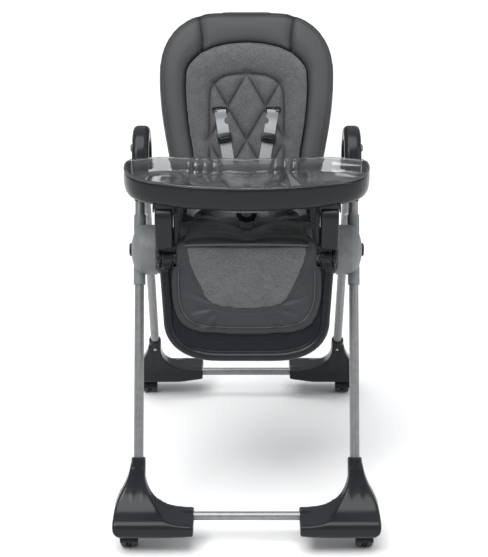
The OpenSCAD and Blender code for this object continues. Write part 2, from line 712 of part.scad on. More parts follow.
for (side = ["left", "right"]) {
    s = side == "left" ? -1 : 1;
    front_leg(s);
    foot("front", s, front_lean, front_bar_z);
    fold_cap(s);
    fold_button(s);
    rear_leg(s);
    foot("rear", s, rear_lean, rear_bar_z);
    brake_tab(s);
    carriage(s);
    height_button(s);
    armrest(s);
    shoulder_strap(s);
    for (end = ["front", "rear"]) {
        caster_fork(end, s);
        caster_wheels(end, s);
    }
}
crossbar("front", front_bar_z);  // front_crossbar
crossbar("rear", rear_bar_z);  // rear_crossbar
fold_pins();
frame_screws();
rear_knuckles();
rear_fixings();
seat_pan();
seat_bolts();
seat_cushion();
crotch_strap();
buckle();
buckle_button();
waist_straps();
backrest_shell();
backrest_pad();
back_insert();
strap_sliders();
recline_lever();
recline_pins();
legrest_shell();
legrest_pad();
leg_flap();
legrest_pins();
tray_base();
tray_rails();
tray_release();
clear_tray();
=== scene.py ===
"""A folding high chair: its padding, webbing, moulded shells and finishes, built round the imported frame."""

import json
import logging
import math
from dataclasses import dataclass, field
from enum import Enum
from typing import Callable, Sequence

import bmesh
import bpy
import numpy as np
from mathutils import Matrix, Vector
from mathutils.bvhtree import BVHTree


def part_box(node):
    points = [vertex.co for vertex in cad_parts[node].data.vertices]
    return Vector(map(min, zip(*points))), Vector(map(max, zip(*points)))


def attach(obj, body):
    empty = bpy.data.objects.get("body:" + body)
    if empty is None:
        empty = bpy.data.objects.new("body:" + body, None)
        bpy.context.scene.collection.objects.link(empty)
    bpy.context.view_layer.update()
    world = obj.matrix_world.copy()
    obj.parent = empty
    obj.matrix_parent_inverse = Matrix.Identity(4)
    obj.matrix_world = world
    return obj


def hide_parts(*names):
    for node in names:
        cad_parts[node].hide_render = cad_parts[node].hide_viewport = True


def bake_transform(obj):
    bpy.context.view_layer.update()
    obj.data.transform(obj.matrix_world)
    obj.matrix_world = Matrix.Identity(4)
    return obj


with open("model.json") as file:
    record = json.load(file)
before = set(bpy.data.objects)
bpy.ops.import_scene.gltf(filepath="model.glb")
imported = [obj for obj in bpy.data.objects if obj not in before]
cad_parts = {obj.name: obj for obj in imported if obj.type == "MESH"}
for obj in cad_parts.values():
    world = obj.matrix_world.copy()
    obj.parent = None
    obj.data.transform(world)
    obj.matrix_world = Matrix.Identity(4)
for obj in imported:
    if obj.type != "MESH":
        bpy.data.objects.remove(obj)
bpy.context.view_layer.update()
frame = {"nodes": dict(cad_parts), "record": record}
LOG = logging.getLogger("high_chair")
Point = tuple[float, float]
Point3 = tuple[float, float, float]
Placer = Callable[[np.ndarray, np.ndarray], np.ndarray]
CLOTH_FRAMES = 20
GROOVE_REACH = 0.0024
# Reach of the painted seam shade, and of its fainter halo of painted shade.
SHADE_REACH = 0.0026
HALO_REACH = 0.009
WELD = 1e-5


class Slot(Enum):
    """The record's material slots."""

    TUBE = "tube_metal"
    DARK = "dark_plastic"
    CARRIAGE = "carriage_grey"
    BUTTON = "button_grey"
    WHEEL = "wheel_plastic"
    CLEAR = "clear_plastic"
    COVER = "dark_fabric"
    HEATHER = "heather_fabric"
    WEBBING = "webbing"
    STEEL = "steel"


# ---------------------------------------------------------------- shader graph


class Graph:
    """A thin wrapper that makes and links shader nodes by name."""

    def __init__(self, tree: bpy.types.NodeTree) -> None:
        """Keep the tree."""
        self.tree = tree

    def node(self, kind: str, inputs: dict | None = None, **settings: object) -> bpy.types.Node:
        """Add one node.

        Args:
            kind: the node's type name, without the ShaderNode prefix.
            inputs: values or sockets by input name or index.
            settings: properties set on the node.

        Returns:
            The new node.
        """
        made = self.tree.nodes.new(kind if kind.startswith("Node") else "ShaderNode" + kind)
        for key, value in settings.items():
            setattr(made, key, value)
        for key, value in (inputs or {}).items():
            if isinstance(value, bpy.types.NodeSocket):
                self.tree.links.new(value, made.inputs[key])
            else:
                made.inputs[key].default_value = value
        return made

    def math(self, operation: str, first: object, second: object = 0.0) -> bpy.types.NodeSocket:
        """A Math node's result for two numbers or sockets."""
        return self.node("Math", {0: first, 1: second}, operation=operation).outputs[0]

    def mix(self, amount: object, first: object, second: object,
            blend: str = "MIX") -> bpy.types.NodeSocket:
        """A colour mix's result."""
        made = self.node("Mix", {0: amount, 6: first, 7: second}, data_type="RGBA", blend_type=blend)
        return made.outputs[2]


def new_group(name: str, inputs: dict[str, object], outputs: dict[str, str]) -> tuple[Graph, dict, dict]:
    """Start a shader node group.

    Args:
        name: the group's name.
        inputs: default values by input name; a 4-tuple makes a colour socket.
        outputs: "Color" or "Float" by output name.

    Returns:
        The graph, the group's input sockets by name, and the group output node's sockets by name.
    """
    tree = bpy.data.node_groups.new(name, "ShaderNodeTree")
    for key, value in inputs.items():
        kind = "NodeSocketColor" if isinstance(value, tuple) else "NodeSocketFloat"
        tree.interface.new_socket(key, in_out="INPUT", socket_type=kind).default_value = value
    for key, kind in outputs.items():
        tree.interface.new_socket(key, in_out="OUTPUT", socket_type="NodeSocket" + kind)
    graph = Graph(tree)
    start, end = graph.node("NodeGroupInput"), graph.node("NodeGroupOutput")
    return graph, {key: start.outputs[key] for key in inputs}, {key: end.inputs[key] for key in outputs}


class Effects:
    """Shader groups that several finishes share. They put out colours, masks and heights only."""

    def __init__(self) -> None:
        """Build each group once."""
        self.drift = self._drift()
        self.wear = self._wear()
        self.grain = self._grain()
        self.weave = self._weave()
        self.melange = self._melange()

    @staticmethod
    def _drift() -> bpy.types.NodeTree:
        """Slow variation of a colour over the surface.

        Returns:
            The group's tree.
        """
        graph, given, out = new_group(
            "colour_drift", {"Color": (1.0, 1.0, 1.0, 1.0), "Scale": 8.0, "Amount": 0.1},
            {"Color": "Color"})
        place = graph.node("TexCoord").outputs["Object"]
        noise = graph.node("TexNoise", {"Vector": place, "Scale": given["Scale"], "Detail": 3.0})
        centred = graph.math("SUBTRACT", noise.outputs[0], 0.5)
        value = graph.math("ADD", graph.math("MULTIPLY", centred, given["Amount"]), 1.0)
        shade = graph.node("CombineColor", {0: value, 1: value, 2: value}).outputs[0]
        graph.tree.links.new(graph.mix(1.0, given["Color"], shade, "MULTIPLY"), out["Color"])
        return graph.tree

    @staticmethod
    def _wear() -> bpy.types.NodeTree:
        """A mask that is high on outward edges, broken up by noise.

        Returns:
            The group's tree.
        """
        graph, given, out = new_group("edge_wear", {"Amount": 0.5, "Scale": 90.0}, {"Mask": "Float"})
        edge = graph.node("NewGeometry").outputs["Pointiness"]
        ramp = graph.node("MapRange", {0: edge, 1: 0.505, 2: 0.56, 3: 0.0, 4: 1.0}).outputs[0]
        place = graph.node("TexCoord").outputs["Object"]
        noise = graph.node("TexNoise", {"Vector": place, "Scale": given["Scale"], "Detail": 4.0}).outputs[0]
        spots = graph.node("MapRange", {0: noise, 1: 0.4, 2: 0.65, 3: 0.2, 4: 1.0}).outputs[0]
        graph.tree.links.new(
            graph.math("MULTIPLY", graph.math("MULTIPLY", ramp, spots), given["Amount"]), out["Mask"])
        return graph.tree

    @staticmethod
    def _grain() -> bpy.types.NodeTree:
        """A fine moulded texture: a height, and a roughness change that goes with it.

        Returns:
            The group's tree.
        """
        graph, given, out = new_group(
            "moulded_grain", {"Scale": 900.0}, {"Height": "Float", "Change": "Float"})
        place = graph.node("TexCoord").outputs["Object"]
        fine = graph.node("TexNoise", {"Vector": place, "Scale": given["Scale"], "Detail": 2.0}).outputs[0]
        broad = graph.node("TexNoise", {"Vector": place, "Scale": 14.0, "Detail": 5.0}).outputs[0]
        graph.tree.links.new(fine, out["Height"])
        graph.tree.links.new(graph.math("SUBTRACT", broad, 0.5), out["Change"])
        return graph.tree

    @staticmethod
    def _weave() -> bpy.types.NodeTree:
        """Crossing threads, from the piece's own x, y and z.

        Returns:
            The group's tree.
        """
        graph, given, out = new_group("plain_weave", {"Scale": 500.0}, {"Height": "Float"})
        parts = graph.node("SeparateXYZ", {0: graph.node("TexCoord").outputs["Object"]})
        across = graph.math("MULTIPLY", parts.outputs[0], given["Scale"])
        slope = graph.math("SUBTRACT", parts.outputs[2], graph.math("MULTIPLY", parts.outputs[1], 0.7))
        up = graph.math("MULTIPLY", slope, given["Scale"])
        warp = graph.math("MULTIPLY", graph.math("SINE", across), graph.math("SINE", up))
        graph.tree.links.new(graph.math("ADD", graph.math("MULTIPLY", warp, 0.5), 0.5), out["Height"])
        return graph.tree

    @staticmethod
    def _melange() -> bpy.types.NodeTree:
        """Speckled yarn: light and dark flecks that run a little longer from side to side.

        Returns:
            The group's tree.
        """
        graph, given, out = new_group(
            "melange", {"Scale": 420.0, "Light": (1.0, 1.0, 1.0, 1.0), "Dark": (0.0, 0.0, 0.0, 1.0)},
            {"Color": "Color", "Height": "Float"})
        place = graph.node("TexCoord").outputs["Object"]
        stretched = graph.node("Mapping", {0: place, 3: (0.45, 1.0, 1.0)}).outputs[0]
        fleck = graph.node("TexNoise", {"Vector": stretched, "Scale": given["Scale"], "Detail": 2.5,
                                        "Roughness": 0.7}).outputs[0]
        cloud = graph.node("TexNoise", {"Vector": place, "Scale": 45.0, "Detail": 4.0}).outputs[0]
        both = graph.math("ADD", graph.math("MULTIPLY", fleck, 0.75), graph.math("MULTIPLY", cloud, 0.25))
        share = graph.node("MapRange", {0: both, 1: 0.36, 2: 0.64, 3: 0.0, 4: 1.0}).outputs[0]
        graph.tree.links.new(graph.mix(share, given["Dark"], given["Light"]), out["Color"])
        graph.tree.links.new(share, out["Height"])
        return graph.tree


Rgb = tuple[float, float, float]


def rgba(colour: Rgb, shade: float = 1.0) -> tuple[float, float, float, float]:
    """A colour as four numbers, darkened or lightened by shade."""
    return (colour[0] * shade, colour[1] * shade, colour[2] * shade, 1.0)


@dataclass(frozen=True)
class Finish:
    """A surface finish. Each kind adds its own nodes in dress()."""

    name: str
    colour: Rgb
    roughness: float = 0.5

    def build(self, effects: Effects) -> bpy.types.Material:
        """Make the material.

        Args:
            effects: the shared shader groups.

        Returns:
            The finished material.
        """
        material = bpy.data.materials.new(self.name)
        material.use_nodes = True
        material.node_tree.nodes.clear()
        graph = Graph(material.node_tree)
        shader = graph.node("BsdfPrincipled", {"Roughness": self.roughness})
        output = graph.node("OutputMaterial")
        graph.tree.links.new(shader.outputs[0], output.inputs[0])
        self.dress(graph, shader, effects)
        return material

    def dress(self, graph: Graph, shader: bpy.types.Node, effects: Effects) -> None:
        """Add this finish's own nodes. The plain finish is only a drifting colour."""
        self.tint(graph, shader, effects, 0.1)

    def group(self, graph: Graph, tree: bpy.types.NodeTree, inputs: dict) -> bpy.types.Node:
        """Place a shared group with its own values.

        Args:
            graph: the material's graph.
            tree: the shared group.
            inputs: values or sockets by input name.

        Returns:
            The placed group node.
        """
        placed = graph.node("Group", node_tree=tree)
        for key, value in inputs.items():
            if isinstance(value, bpy.types.NodeSocket):
                graph.tree.links.new(value, placed.inputs[key])
            else:
                placed.inputs[key].default_value = value
        return placed

    def tint(self, graph: Graph, shader: bpy.types.Node, effects: Effects, amount: float,
             colour: object = None) -> None:
        """Feed a slowly drifting base colour.

        Args:
            graph: the material's graph.
            shader: the material's Principled node.
            effects: the shared shader groups.
            amount: how strongly the colour drifts.
            colour: a colour or a socket; this finish's own colour if left out.
        """
        drift = self.group(graph, effects.drift, {
            "Color": rgba(self.colour) if colour is None else colour, "Amount": amount})
        graph.tree.links.new(drift.outputs[0], shader.inputs["Base Color"])

    def painted_seam_shade(self, graph: Graph, colour: bpy.types.NodeSocket) -> bpy.types.NodeSocket:
        """Paint shade into a colour along seams, as strong as the mesh's seam attribute.

        Args:
            graph: the material's graph.
            colour: the colour's socket.

        Returns:
            The colour's socket with the painted seam shade.
        """
        # Painted shade: the seam attribute darkens the cloth towards a near-black copy of its colour.
        painted_shade = graph.node("Attribute", attribute_name="seam").outputs["Fac"]
        share = graph.math("MINIMUM", painted_shade, 0.85)
        return graph.mix(share, colour, rgba(self.colour, 0.12))

    def bump(self, graph: Graph, shader: bpy.types.Node, height: bpy.types.NodeSocket,
             strength: float, distance: float) -> None:
        """Feed a bump from a height."""
        made = graph.node("Bump", {"Strength": strength, "Distance": distance, "Height": height})
        graph.tree.links.new(made.outputs[0], shader.inputs["Normal"])


@dataclass(frozen=True)
class MouldedPlastic(Finish):
    """Injection-moulded plastic, glossy or textured, with paler worn edges."""

    grain: float = 0.05
    grain_scale: float = 900.0
    coat: float = 0.0
    wear: float = 0.35
    shine: float = 0.5

    def dress(self, graph: Graph, shader: bpy.types.Node, effects: Effects) -> None:
        """Add colour drift, edge wear, grain and a change of gloss.

        Args:
            graph: the material's graph.
            shader: the material's Principled node.
            effects: the shared shader groups.
        """
        wear = self.group(graph, effects.wear, {"Amount": self.wear})
        worn = graph.mix(wear.outputs[0], rgba(self.colour), rgba(self.colour, 2.2))
        self.tint(graph, shader, effects, 0.16, worn)
        grain = self.group(graph, effects.grain, {"Scale": self.grain_scale})
        rough = graph.math("ADD", graph.math("MULTIPLY", grain.outputs["Change"], 0.14), self.roughness)
        graph.tree.links.new(rough, shader.inputs["Roughness"])
        self.bump(graph, shader, grain.outputs["Height"], self.grain, 0.0004)
        shader.inputs["Coat Weight"].default_value = self.coat
        shader.inputs["Coat Roughness"].default_value = 0.08
        shader.inputs["Specular IOR Level"].default_value = self.shine


@dataclass(frozen=True)
class CoatedMetal(Finish):
    """Steel tube or plate under a thin metallic paint, or bare plated steel."""

    metallic: float = 0.7

    def dress(self, graph: Graph, shader: bpy.types.Node, effects: Effects) -> None:
        """Add colour drift, fine orange peel and a change of gloss.

        Args:
            graph: the material's graph.
            shader: the material's Principled node.
            effects: the shared shader groups.
        """
        wear = self.group(graph, effects.wear, {"Amount": 0.3})
        worn = graph.mix(wear.outputs[0], rgba(self.colour), rgba(self.colour, 1.7))
        self.tint(graph, shader, effects, 0.1, worn)
        grain = self.group(graph, effects.grain, {"Scale": 1500.0})
        rough = graph.math("ADD", graph.math("MULTIPLY", grain.outputs["Change"], 0.12), self.roughness)
        graph.tree.links.new(rough, shader.inputs["Roughness"])
        self.bump(graph, shader, grain.outputs["Height"], 0.08, 0.0003)
        shader.inputs["Metallic"].default_value = self.metallic


@dataclass(frozen=True)
class Cloth(Finish):
    """Woven cloth with a soft sheen."""

    thread: float = 1400.0
    relief: float = 0.35
    sheen: float = 0.15

    def dress(self, graph: Graph, shader: bpy.types.Node, effects: Effects) -> None:
        """Add colour drift with painted seam shade, the weave and its sheen.

        Args:
            graph: the material's graph.
            shader: the material's Principled node.
            effects: the shared shader groups.
        """
        weave = self.group(graph, effects.weave, {"Scale": self.thread})
        shaded = graph.mix(weave.outputs[0], rgba(self.colour, 0.86), rgba(self.colour, 1.1))
        self.tint(graph, shader, effects, 0.22, self.painted_seam_shade(graph, shaded))
        self.bump(graph, shader, weave.outputs[0], self.relief, 0.0003)
        shader.inputs["Sheen Weight"].default_value = self.sheen
        shader.inputs["Sheen Roughness"].default_value = 0.5
        shader.inputs["Specular IOR Level"].default_value = 0.25


@dataclass(frozen=True)
class HeatherCloth(Cloth):
    """Melange cloth: flecks of light and dark yarn in the weave."""

    contrast: float = 0.3

    def dress(self, graph: Graph, shader: bpy.types.Node, effects: Effects) -> None:
        """Add the flecks with painted seam shade, the weave and its sheen.

        Args:
            graph: the material's graph.
            shader: the material's Principled node.
            effects: the shared shader groups.
        """
        fleck = self.group(graph, effects.melange, {
            "Light": rgba(self.colour, 1 + self.contrast), "Dark": rgba(self.colour, 1 - self.contrast)})
        weave = self.group(graph, effects.weave, {"Scale": self.thread})
        self.tint(graph, shader, effects, 0.14, self.painted_seam_shade(graph, fleck.outputs["Color"]))
        height = graph.math("ADD", graph.math("MULTIPLY", fleck.outputs["Height"], 0.6), weave.outputs[0])
        self.bump(graph, shader, height, self.relief, 0.0005)
        shader.inputs["Sheen Weight"].default_value = self.sheen
        shader.inputs["Sheen Roughness"].default_value = 0.6
        shader.inputs["Specular IOR Level"].default_value = 0.15


@dataclass(frozen=True)
class ClearPlastic(Finish):
    """Smoky clear plastic."""

    def dress(self, graph: Graph, shader: bpy.types.Node, effects: Effects) -> None:
        """Add plain transmission with faint rubbing marks in the gloss.

        Args:
            graph: the material's graph.
            shader: the material's Principled node.
            effects: the shared shader groups.
        """
        self.tint(graph, shader, effects, 0.04)
        grain = self.group(graph, effects.grain, {"Scale": 300.0})
        rough = graph.math("ADD", graph.math("MULTIPLY", grain.outputs["Change"], 0.05), self.roughness)
        graph.tree.links.new(rough, shader.inputs["Roughness"])
        shader.inputs["Transmission Weight"].default_value = 0.93
        shader.inputs["IOR"].default_value = 1.2
        shader.inputs["Coat Weight"].default_value = 0.35
        shader.inputs["Coat Roughness"].default_value = 0.05


FINISHES: dict[Slot, Finish] = {
    Slot.TUBE: CoatedMetal("tube_paint", (0.2, 0.205, 0.21), 0.32, metallic=0.5),
    Slot.DARK: MouldedPlastic("dark_gloss", (0.0125, 0.014, 0.0165), 0.24, coat=0.04, shine=0.19),
    Slot.CARRIAGE: MouldedPlastic("carriage_plastic", (0.15, 0.16, 0.163), 0.48, grain=0.25, wear=0.15),
    Slot.BUTTON: MouldedPlastic("button_plastic", (0.09, 0.094, 0.1), 0.42, grain=0.2),
    Slot.WHEEL: MouldedPlastic("wheel_plastic", (0.022, 0.023, 0.026), 0.45, grain=0.2),
    Slot.CLEAR: ClearPlastic("clear_plastic", (0.4, 0.412, 0.42), 0.03),
    Slot.COVER: Cloth("dark_cover", (0.06, 0.062, 0.065), 0.62),
    Slot.HEATHER: HeatherCloth("heather_cloth", (0.082, 0.084, 0.086), 0.85, thread=900.0, sheen=0.25),
    Slot.WEBBING: Cloth("webbing", (0.295, 0.31, 0.32), 0.7, thread=2600.0, relief=0.6),
    Slot.STEEL: CoatedMetal("plated_steel", (0.42, 0.43, 0.44), 0.3, metallic=1.0),
}


class Paintbox:
    """The materials by slot, and the way pieces are painted and set on their bodies."""

    def __init__(self) -> None:
        """Build every finish once."""
        effects = Effects()
        self.materials = {slot: finish.build(effects) for slot, finish in FINISHES.items()}
        liner = Cloth("legrest_liner", (0.03, 0.0325, 0.037), 0.5, sheen=0.1)
        thread = Cloth("sewing_thread", (0.05, 0.052, 0.056), 0.6, thread=4000.0)
        self.liner = liner.build(effects)
        # A darker copy of the heather: painted shade for the seat insert in the tray's shadow.
        seat = HeatherCloth("seat_heather_painted_shade", (0.038, 0.039, 0.041), 0.85, thread=900.0, sheen=0.1)
        self.seat = seat.build(effects)
        self.thread = thread.build(effects)
        self.piping = Cloth("piping", (0.06, 0.063, 0.067), 0.45, sheen=0.1).build(effects)

    def paint(self, piece: bpy.types.Object, material: bpy.types.Material) -> None:
        """Give a piece one material."""
        piece.data.materials.clear()
        piece.data.materials.append(material)

    def hand_over(self, piece: bpy.types.Object, slot: Slot, body: str,
                  material: bpy.types.Material | None = None) -> None:
        """Paint a piece and let it ride on its body.

        Args:
            piece: the finished object.
            slot: the slot that it belongs to.
            body: the body that it rides on.
            material: its material; the slot's own if left out.
        """
        self.paint(piece, material or self.materials[slot])
        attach(piece, body)
        LOG.info("%s rides on %s", piece.name, body)

    def dress_nodes(self) -> None:
        """Give every CAD node the material of its slot in the record."""
        slots = {part["node"]: Slot(part["material_slot"]) for part in frame["record"]["subparts"]}
        for name, slot in slots.items():
            node = frame["nodes"][name]
            for place in node.material_slots:
                place.material = self.materials[slot]


# ---------------------------------------------------------------- mesh helpers


def add_object(name: str, mesh: bpy.types.Mesh, smooth: bool = True) -> bpy.types.Object:
    """Link a mesh to the scene as an object at the origin.

    Args:
        name: the object's name.
        mesh: its mesh.
        smooth: whether its faces are shaded smooth.

    Returns:
        The new object.
    """
    piece = bpy.data.objects.new(name, mesh)
    bpy.context.scene.collection.objects.link(piece)
    if smooth:
        mesh.shade_smooth()
    return piece


def from_arrays(name: str, points: np.ndarray, faces: Sequence[Sequence[int]]) -> bpy.types.Object:
    """Make a smooth object from points and faces, with its normals turned outwards.

    Args:
        name: the object's name.
        points: rows of three numbers.
        faces: each face's point numbers.

    Returns:
        The new object.
    """
    mesh = bpy.data.meshes.new(name)
    mesh.from_pydata([tuple(map(float, p)) for p in points], [], faces)
    work = bmesh.new()
    work.from_mesh(mesh)
    bmesh.ops.remove_doubles(work, verts=work.verts, dist=1e-6)
    bmesh.ops.recalc_face_normals(work, faces=work.faces)
    work.to_mesh(mesh)
    work.free()
    return add_object(name, mesh)


def grid_faces(rows: int, count: int, wrap_rows: bool = False, wrap: bool = True) -> list[Sequence[int]]:
    """Four-sided faces between neighbouring rows of points.

    Args:
        rows: how many rows there are.
        count: how many points each row has.
        wrap_rows: whether the last row joins on to the first.
        wrap: whether each row closes on itself.

    Returns:
        Each face's point numbers.
    """
    faces: list[Sequence[int]] = []
    for j in range(rows if wrap_rows else rows - 1):
        k = (j + 1) % rows
        for i in range(count if wrap else count - 1):
            n = (i + 1) % count
            faces.append((j * count + i, j * count + n, k * count + n, k * count + i))
    return faces


def coords(mesh: bpy.types.Mesh) -> np.ndarray:
    """A mesh's points as an array of rows.

    Args:
        mesh: the mesh that is read.

    Returns:
        One row for each point.
    """
    flat = np.empty(len(mesh.vertices) * 3)
    mesh.vertices.foreach_get("co", flat)
    return flat.reshape(-1, 3)


def set_coords(mesh: bpy.types.Mesh, points: np.ndarray) -> None:
    """Write a mesh's points back."""
    mesh.vertices.foreach_set("co", points.astype(np.float32).ravel())
    mesh.update()


def bake_modifiers(piece: bpy.types.Object) -> None:
    """Turn an object's modifiers into plain mesh.

    Args:
        piece: the object, which keeps its name and its place.
    """
    depsgraph = bpy.context.evaluated_depsgraph_get()
    mesh = bpy.data.meshes.new_from_object(piece.evaluated_get(depsgraph))
    piece.modifiers.clear()
    old = piece.data
    piece.data = mesh
    bpy.data.meshes.remove(old)


def remesh(piece: bpy.types.Object, voxel: float) -> None:
    """Rebuild a closed mesh from cubes of one size.

    Args:
        piece: the object.
        voxel: the cubes' size, in metres.
    """
    made = piece.modifiers.new("remesh", "REMESH")
    made.mode = "VOXEL"
    made.voxel_size = voxel
    made.use_smooth_shade = True
    bake_modifiers(piece)


def relax(piece: bpy.types.Object, rounds: int, factor: float = 0.5) -> None:
    """Smooth a mesh's points.

    Args:
        piece: the object.
        rounds: how many times the points are smoothed.
        factor: how far they go each time.
    """
    made = piece.modifiers.new("relax", "SMOOTH")
    made.iterations = rounds
    made.factor = factor
    bake_modifiers(piece)


def subdivide(piece: bpy.types.Object, levels: int = 1) -> None:
    """Apply a subdivision surface.

    Args:
        piece: the object.
        levels: how many times each face is split.
    """
    made = piece.modifiers.new("subdivide", "SUBSURF")
    made.levels = made.render_levels = levels
    bake_modifiers(piece)


def distance_to(points: np.ndarray, line: np.ndarray) -> np.ndarray:
    """Distance of each 2-D point from a broken line.

    Args:
        points: rows of two numbers.
        line: the line's corners, as rows of two numbers.

    Returns:
        One distance for each point.
    """
    best = np.full(len(points), np.inf)
    for start, end in zip(line[:-1], line[1:]):
        along = end - start
        length = float(along @ along) or 1e-12
        share = np.clip((points - start) @ along / length, 0.0, 1.0)
        gap = points - (start + share[:, None] * along)
        best = np.minimum(best, np.hypot(gap[:, 0], gap[:, 1]))
    return best


def superellipse(centre: Point, half: Point, power: float, start: float, end: float,
                 count: int = 24) -> list[Point]:
    """Points of a squarish curve round centre, between two angles in degrees.

    Args:
        centre: the curve's middle.
        half: half of its width and height.
        power: 2 for an ellipse, more for a squarer curve.
        start: the first angle.
        end: the last angle.
        count: how many steps lie between them.

    Returns:
        The points, one more than count.
    """
    points = []
    for step in range(count + 1):
        angle = math.radians(start + (end - start) * step / count)
        cosine, sine = math.cos(angle), math.sin(angle)
        points.append((centre[0] + half[0] * math.copysign(abs(cosine) ** (2 / power), cosine),
                       centre[1] + half[1] * math.copysign(abs(sine) ** (2 / power), sine)))
    return points


def upright(base: float = 0.0) -> Placer:
    """A rule that keeps flat points as they are and stands heights on base."""
    return lambda flat, high: np.column_stack([flat, base + high])


def resample(points: np.ndarray, count: int, closed: bool) -> np.ndarray:
    """Evenly spaced points on a line.

    Args:
        points: the line's corners.
        count: how many points to make.
        closed: whether the line closes on itself.

    Returns:
        The new points.
    """
    line = np.vstack([points, points[:1]]) if closed else points
    steps = np.concatenate([[0.0], np.cumsum(np.linalg.norm(np.diff(line, axis=0), axis=1))])
    places = np.linspace(0.0, steps[-1], count + 1 if closed else count)
    found = np.stack([np.interp(places, steps, line[:, i]) for i in range(line.shape[1])], axis=1)
    return found[:-1] if closed else found


def inward(path: np.ndarray, closed: bool) -> np.ndarray:
    """Unit normals of a flat path, turned to its left.

    Args:
        path: the path's points.
        closed: whether it closes on itself.

    Returns:
        One unit vector for each point.
    """
    ahead = np.roll(path, -1, axis=0) - np.roll(path, 1, axis=0)
    if not closed:
        ahead[0], ahead[-1] = path[1] - path[0], path[-1] - path[-2]
    ahead /= np.linalg.norm(ahead, axis=1)[:, None]
    return np.stack([-ahead[:, 1], ahead[:, 0]], axis=1)


def loft(name: str, path: np.ndarray, profile: Sequence[Point], closed: bool,
         place: Placer, ring: bool = True) -> bpy.types.Object:
    """Carry a cross section along a flat path.

    Args:
        name: the new object's name.
        path: the path's points in its own plane, with the inside on its left.
        profile: the section's points as (distance inwards, height).
        closed: whether the path closes on itself.
        place: turns flat points and heights into points in space.
        ring: whether the section closes on itself.

    Returns:
        The new object.
    """
    normals = inward(path, closed)
    rows = [place(path + normals * deep, np.full(len(path), high)) for deep, high in profile]
    points = np.concatenate(rows)
    count, sections = len(path), len(profile)
    faces = grid_faces(sections, count, ring, closed)
    if ring and not closed:
        faces.append([j * count for j in range(sections)])
        faces.append([j * count + count - 1 for j in range(sections)])
    return from_arrays(name, points, faces)


def tube_along(name: str, points: np.ndarray, radius: float, closed: bool = False,
               sides: int = 8) -> bpy.types.Object:
    """A round tube that follows points in space, with closed ends.

    Args:
        name: the new object's name.
        points: the line that it follows.
        radius: the tube's radius.
        closed: whether the line closes on itself.
        sides: how many sides the tube has.

    Returns:
        The new object.
    """
    count = len(points)
    ahead = np.roll(points, -1, axis=0) - np.roll(points, 1, axis=0)
    if not closed:
        ahead[0], ahead[-1] = points[1] - points[0], points[-1] - points[-2]
    ahead /= np.linalg.norm(ahead, axis=1)[:, None]
    side = np.cross(ahead[0], (0.0, 1.0, 0.02))
    rings = []
    for i in range(count):
        side = side - ahead[i] * (side @ ahead[i])
        side /= np.linalg.norm(side)
        other = np.cross(ahead[i], side)
        angles = np.linspace(0, 2 * math.pi, sides, endpoint=False)
        round_it = np.outer(np.cos(angles), side) + np.outer(np.sin(angles), other)
        rings.append(points[i] + radius * round_it)
    faces = grid_faces(count, sides, closed)
    if not closed:
        faces += [list(range(sides)), [(count - 1) * sides + j for j in range(sides)]]
    return from_arrays(name, np.concatenate(rings), faces)


def joined(name: str, parts: Sequence[bpy.types.Object]) -> bpy.types.Object:
    """Join several objects' meshes into one new object, and drop the old ones.

    Args:
        name: the new object's name.
        parts: the objects that are joined.

    Returns:
        The new object.
    """
    work = bmesh.new()
    for part in parts:
        work.from_mesh(part.data)
    mesh = bpy.data.meshes.new(name)
    work.to_mesh(mesh)
    work.free()
    for part in parts:
        bpy.data.objects.remove(part)
    return add_object(name, mesh)


def moulded_copy(node: str, name: str, voxel: float, rounds: int) -> bpy.types.Object:
    """A copy of a CAD node with its edges rounded the way a moulding's are.

    Args:
        node: the CAD node that is copied.
        name: the new object's name.
        voxel: cube size of the remesh, in metres.
        rounds: how many times the points are smoothed.

    Returns:
        The new object, which stands for the node.
    """
    mesh = frame["nodes"][node].data.copy()
    mesh.name = name
    work = bmesh.new()
    work.from_mesh(mesh)
    bmesh.ops.remove_doubles(work, verts=work.verts, dist=WELD)
    work.to_mesh(mesh)
    work.free()
    piece = add_object(name, mesh)
    remesh(piece, voxel)
    relax(piece, rounds)
    piece.data.shade_smooth()
    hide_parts(node)
    return piece


def press(name: str) -> tuple[Point3, float]:
    """The direction and the travel of a button's joint."""
    joint = next(joint for joint in frame["record"]["behaviour"]["joints"] if joint["name"] == name)
    return tuple(joint["axis"]), joint["range_m"][1]


def recess(piece: bpy.types.Object, node: str, way: Point3, travel: float, room: float = 0.0007) -> None:
    """Cut a skin clear of a round button, as deep as the button can be pressed.

    Args:
        piece: the skin, a closed mesh.
        node: the button's CAD node.
        way: the direction in which the button is pressed, along one axis of the frame.
        travel: how far the button goes in, in metres.
        room: the gap left beside and behind the button, in metres.
    """
    low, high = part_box(node)
    inwards = Vector(way).normalized()
    size = high - low
    long = abs(size.dot(inwards))
    radius = max(size[i] for i in range(3) if abs(inwards[i]) < 0.5) / 2 + room
    outside = 0.006
    depth = long + travel + room + outside
    middle = (low + high) / 2 + inwards * ((travel + room - outside) / 2)
    work = bmesh.new()
    turn = Vector((0, 0, 1)).rotation_difference(inwards).to_matrix().to_4x4()
    bmesh.ops.create_cone(work, cap_ends=True, segments=72, radius1=radius, radius2=radius, depth=depth,
                          matrix=Matrix.Translation(middle) @ turn)
    mesh = bpy.data.meshes.new("cutter")
    work.to_mesh(mesh)
    work.free()
    cutter = add_object("cutter", mesh, smooth=False)
    cut = piece.modifiers.new("recess", "BOOLEAN")
    cut.operation = "DIFFERENCE"
    cut.solver = "EXACT"
    cut.object = cutter
    bake_modifiers(piece)
    bpy.data.objects.remove(cutter)
    piece.data.set_sharp_from_angle(angle=math.radians(50))


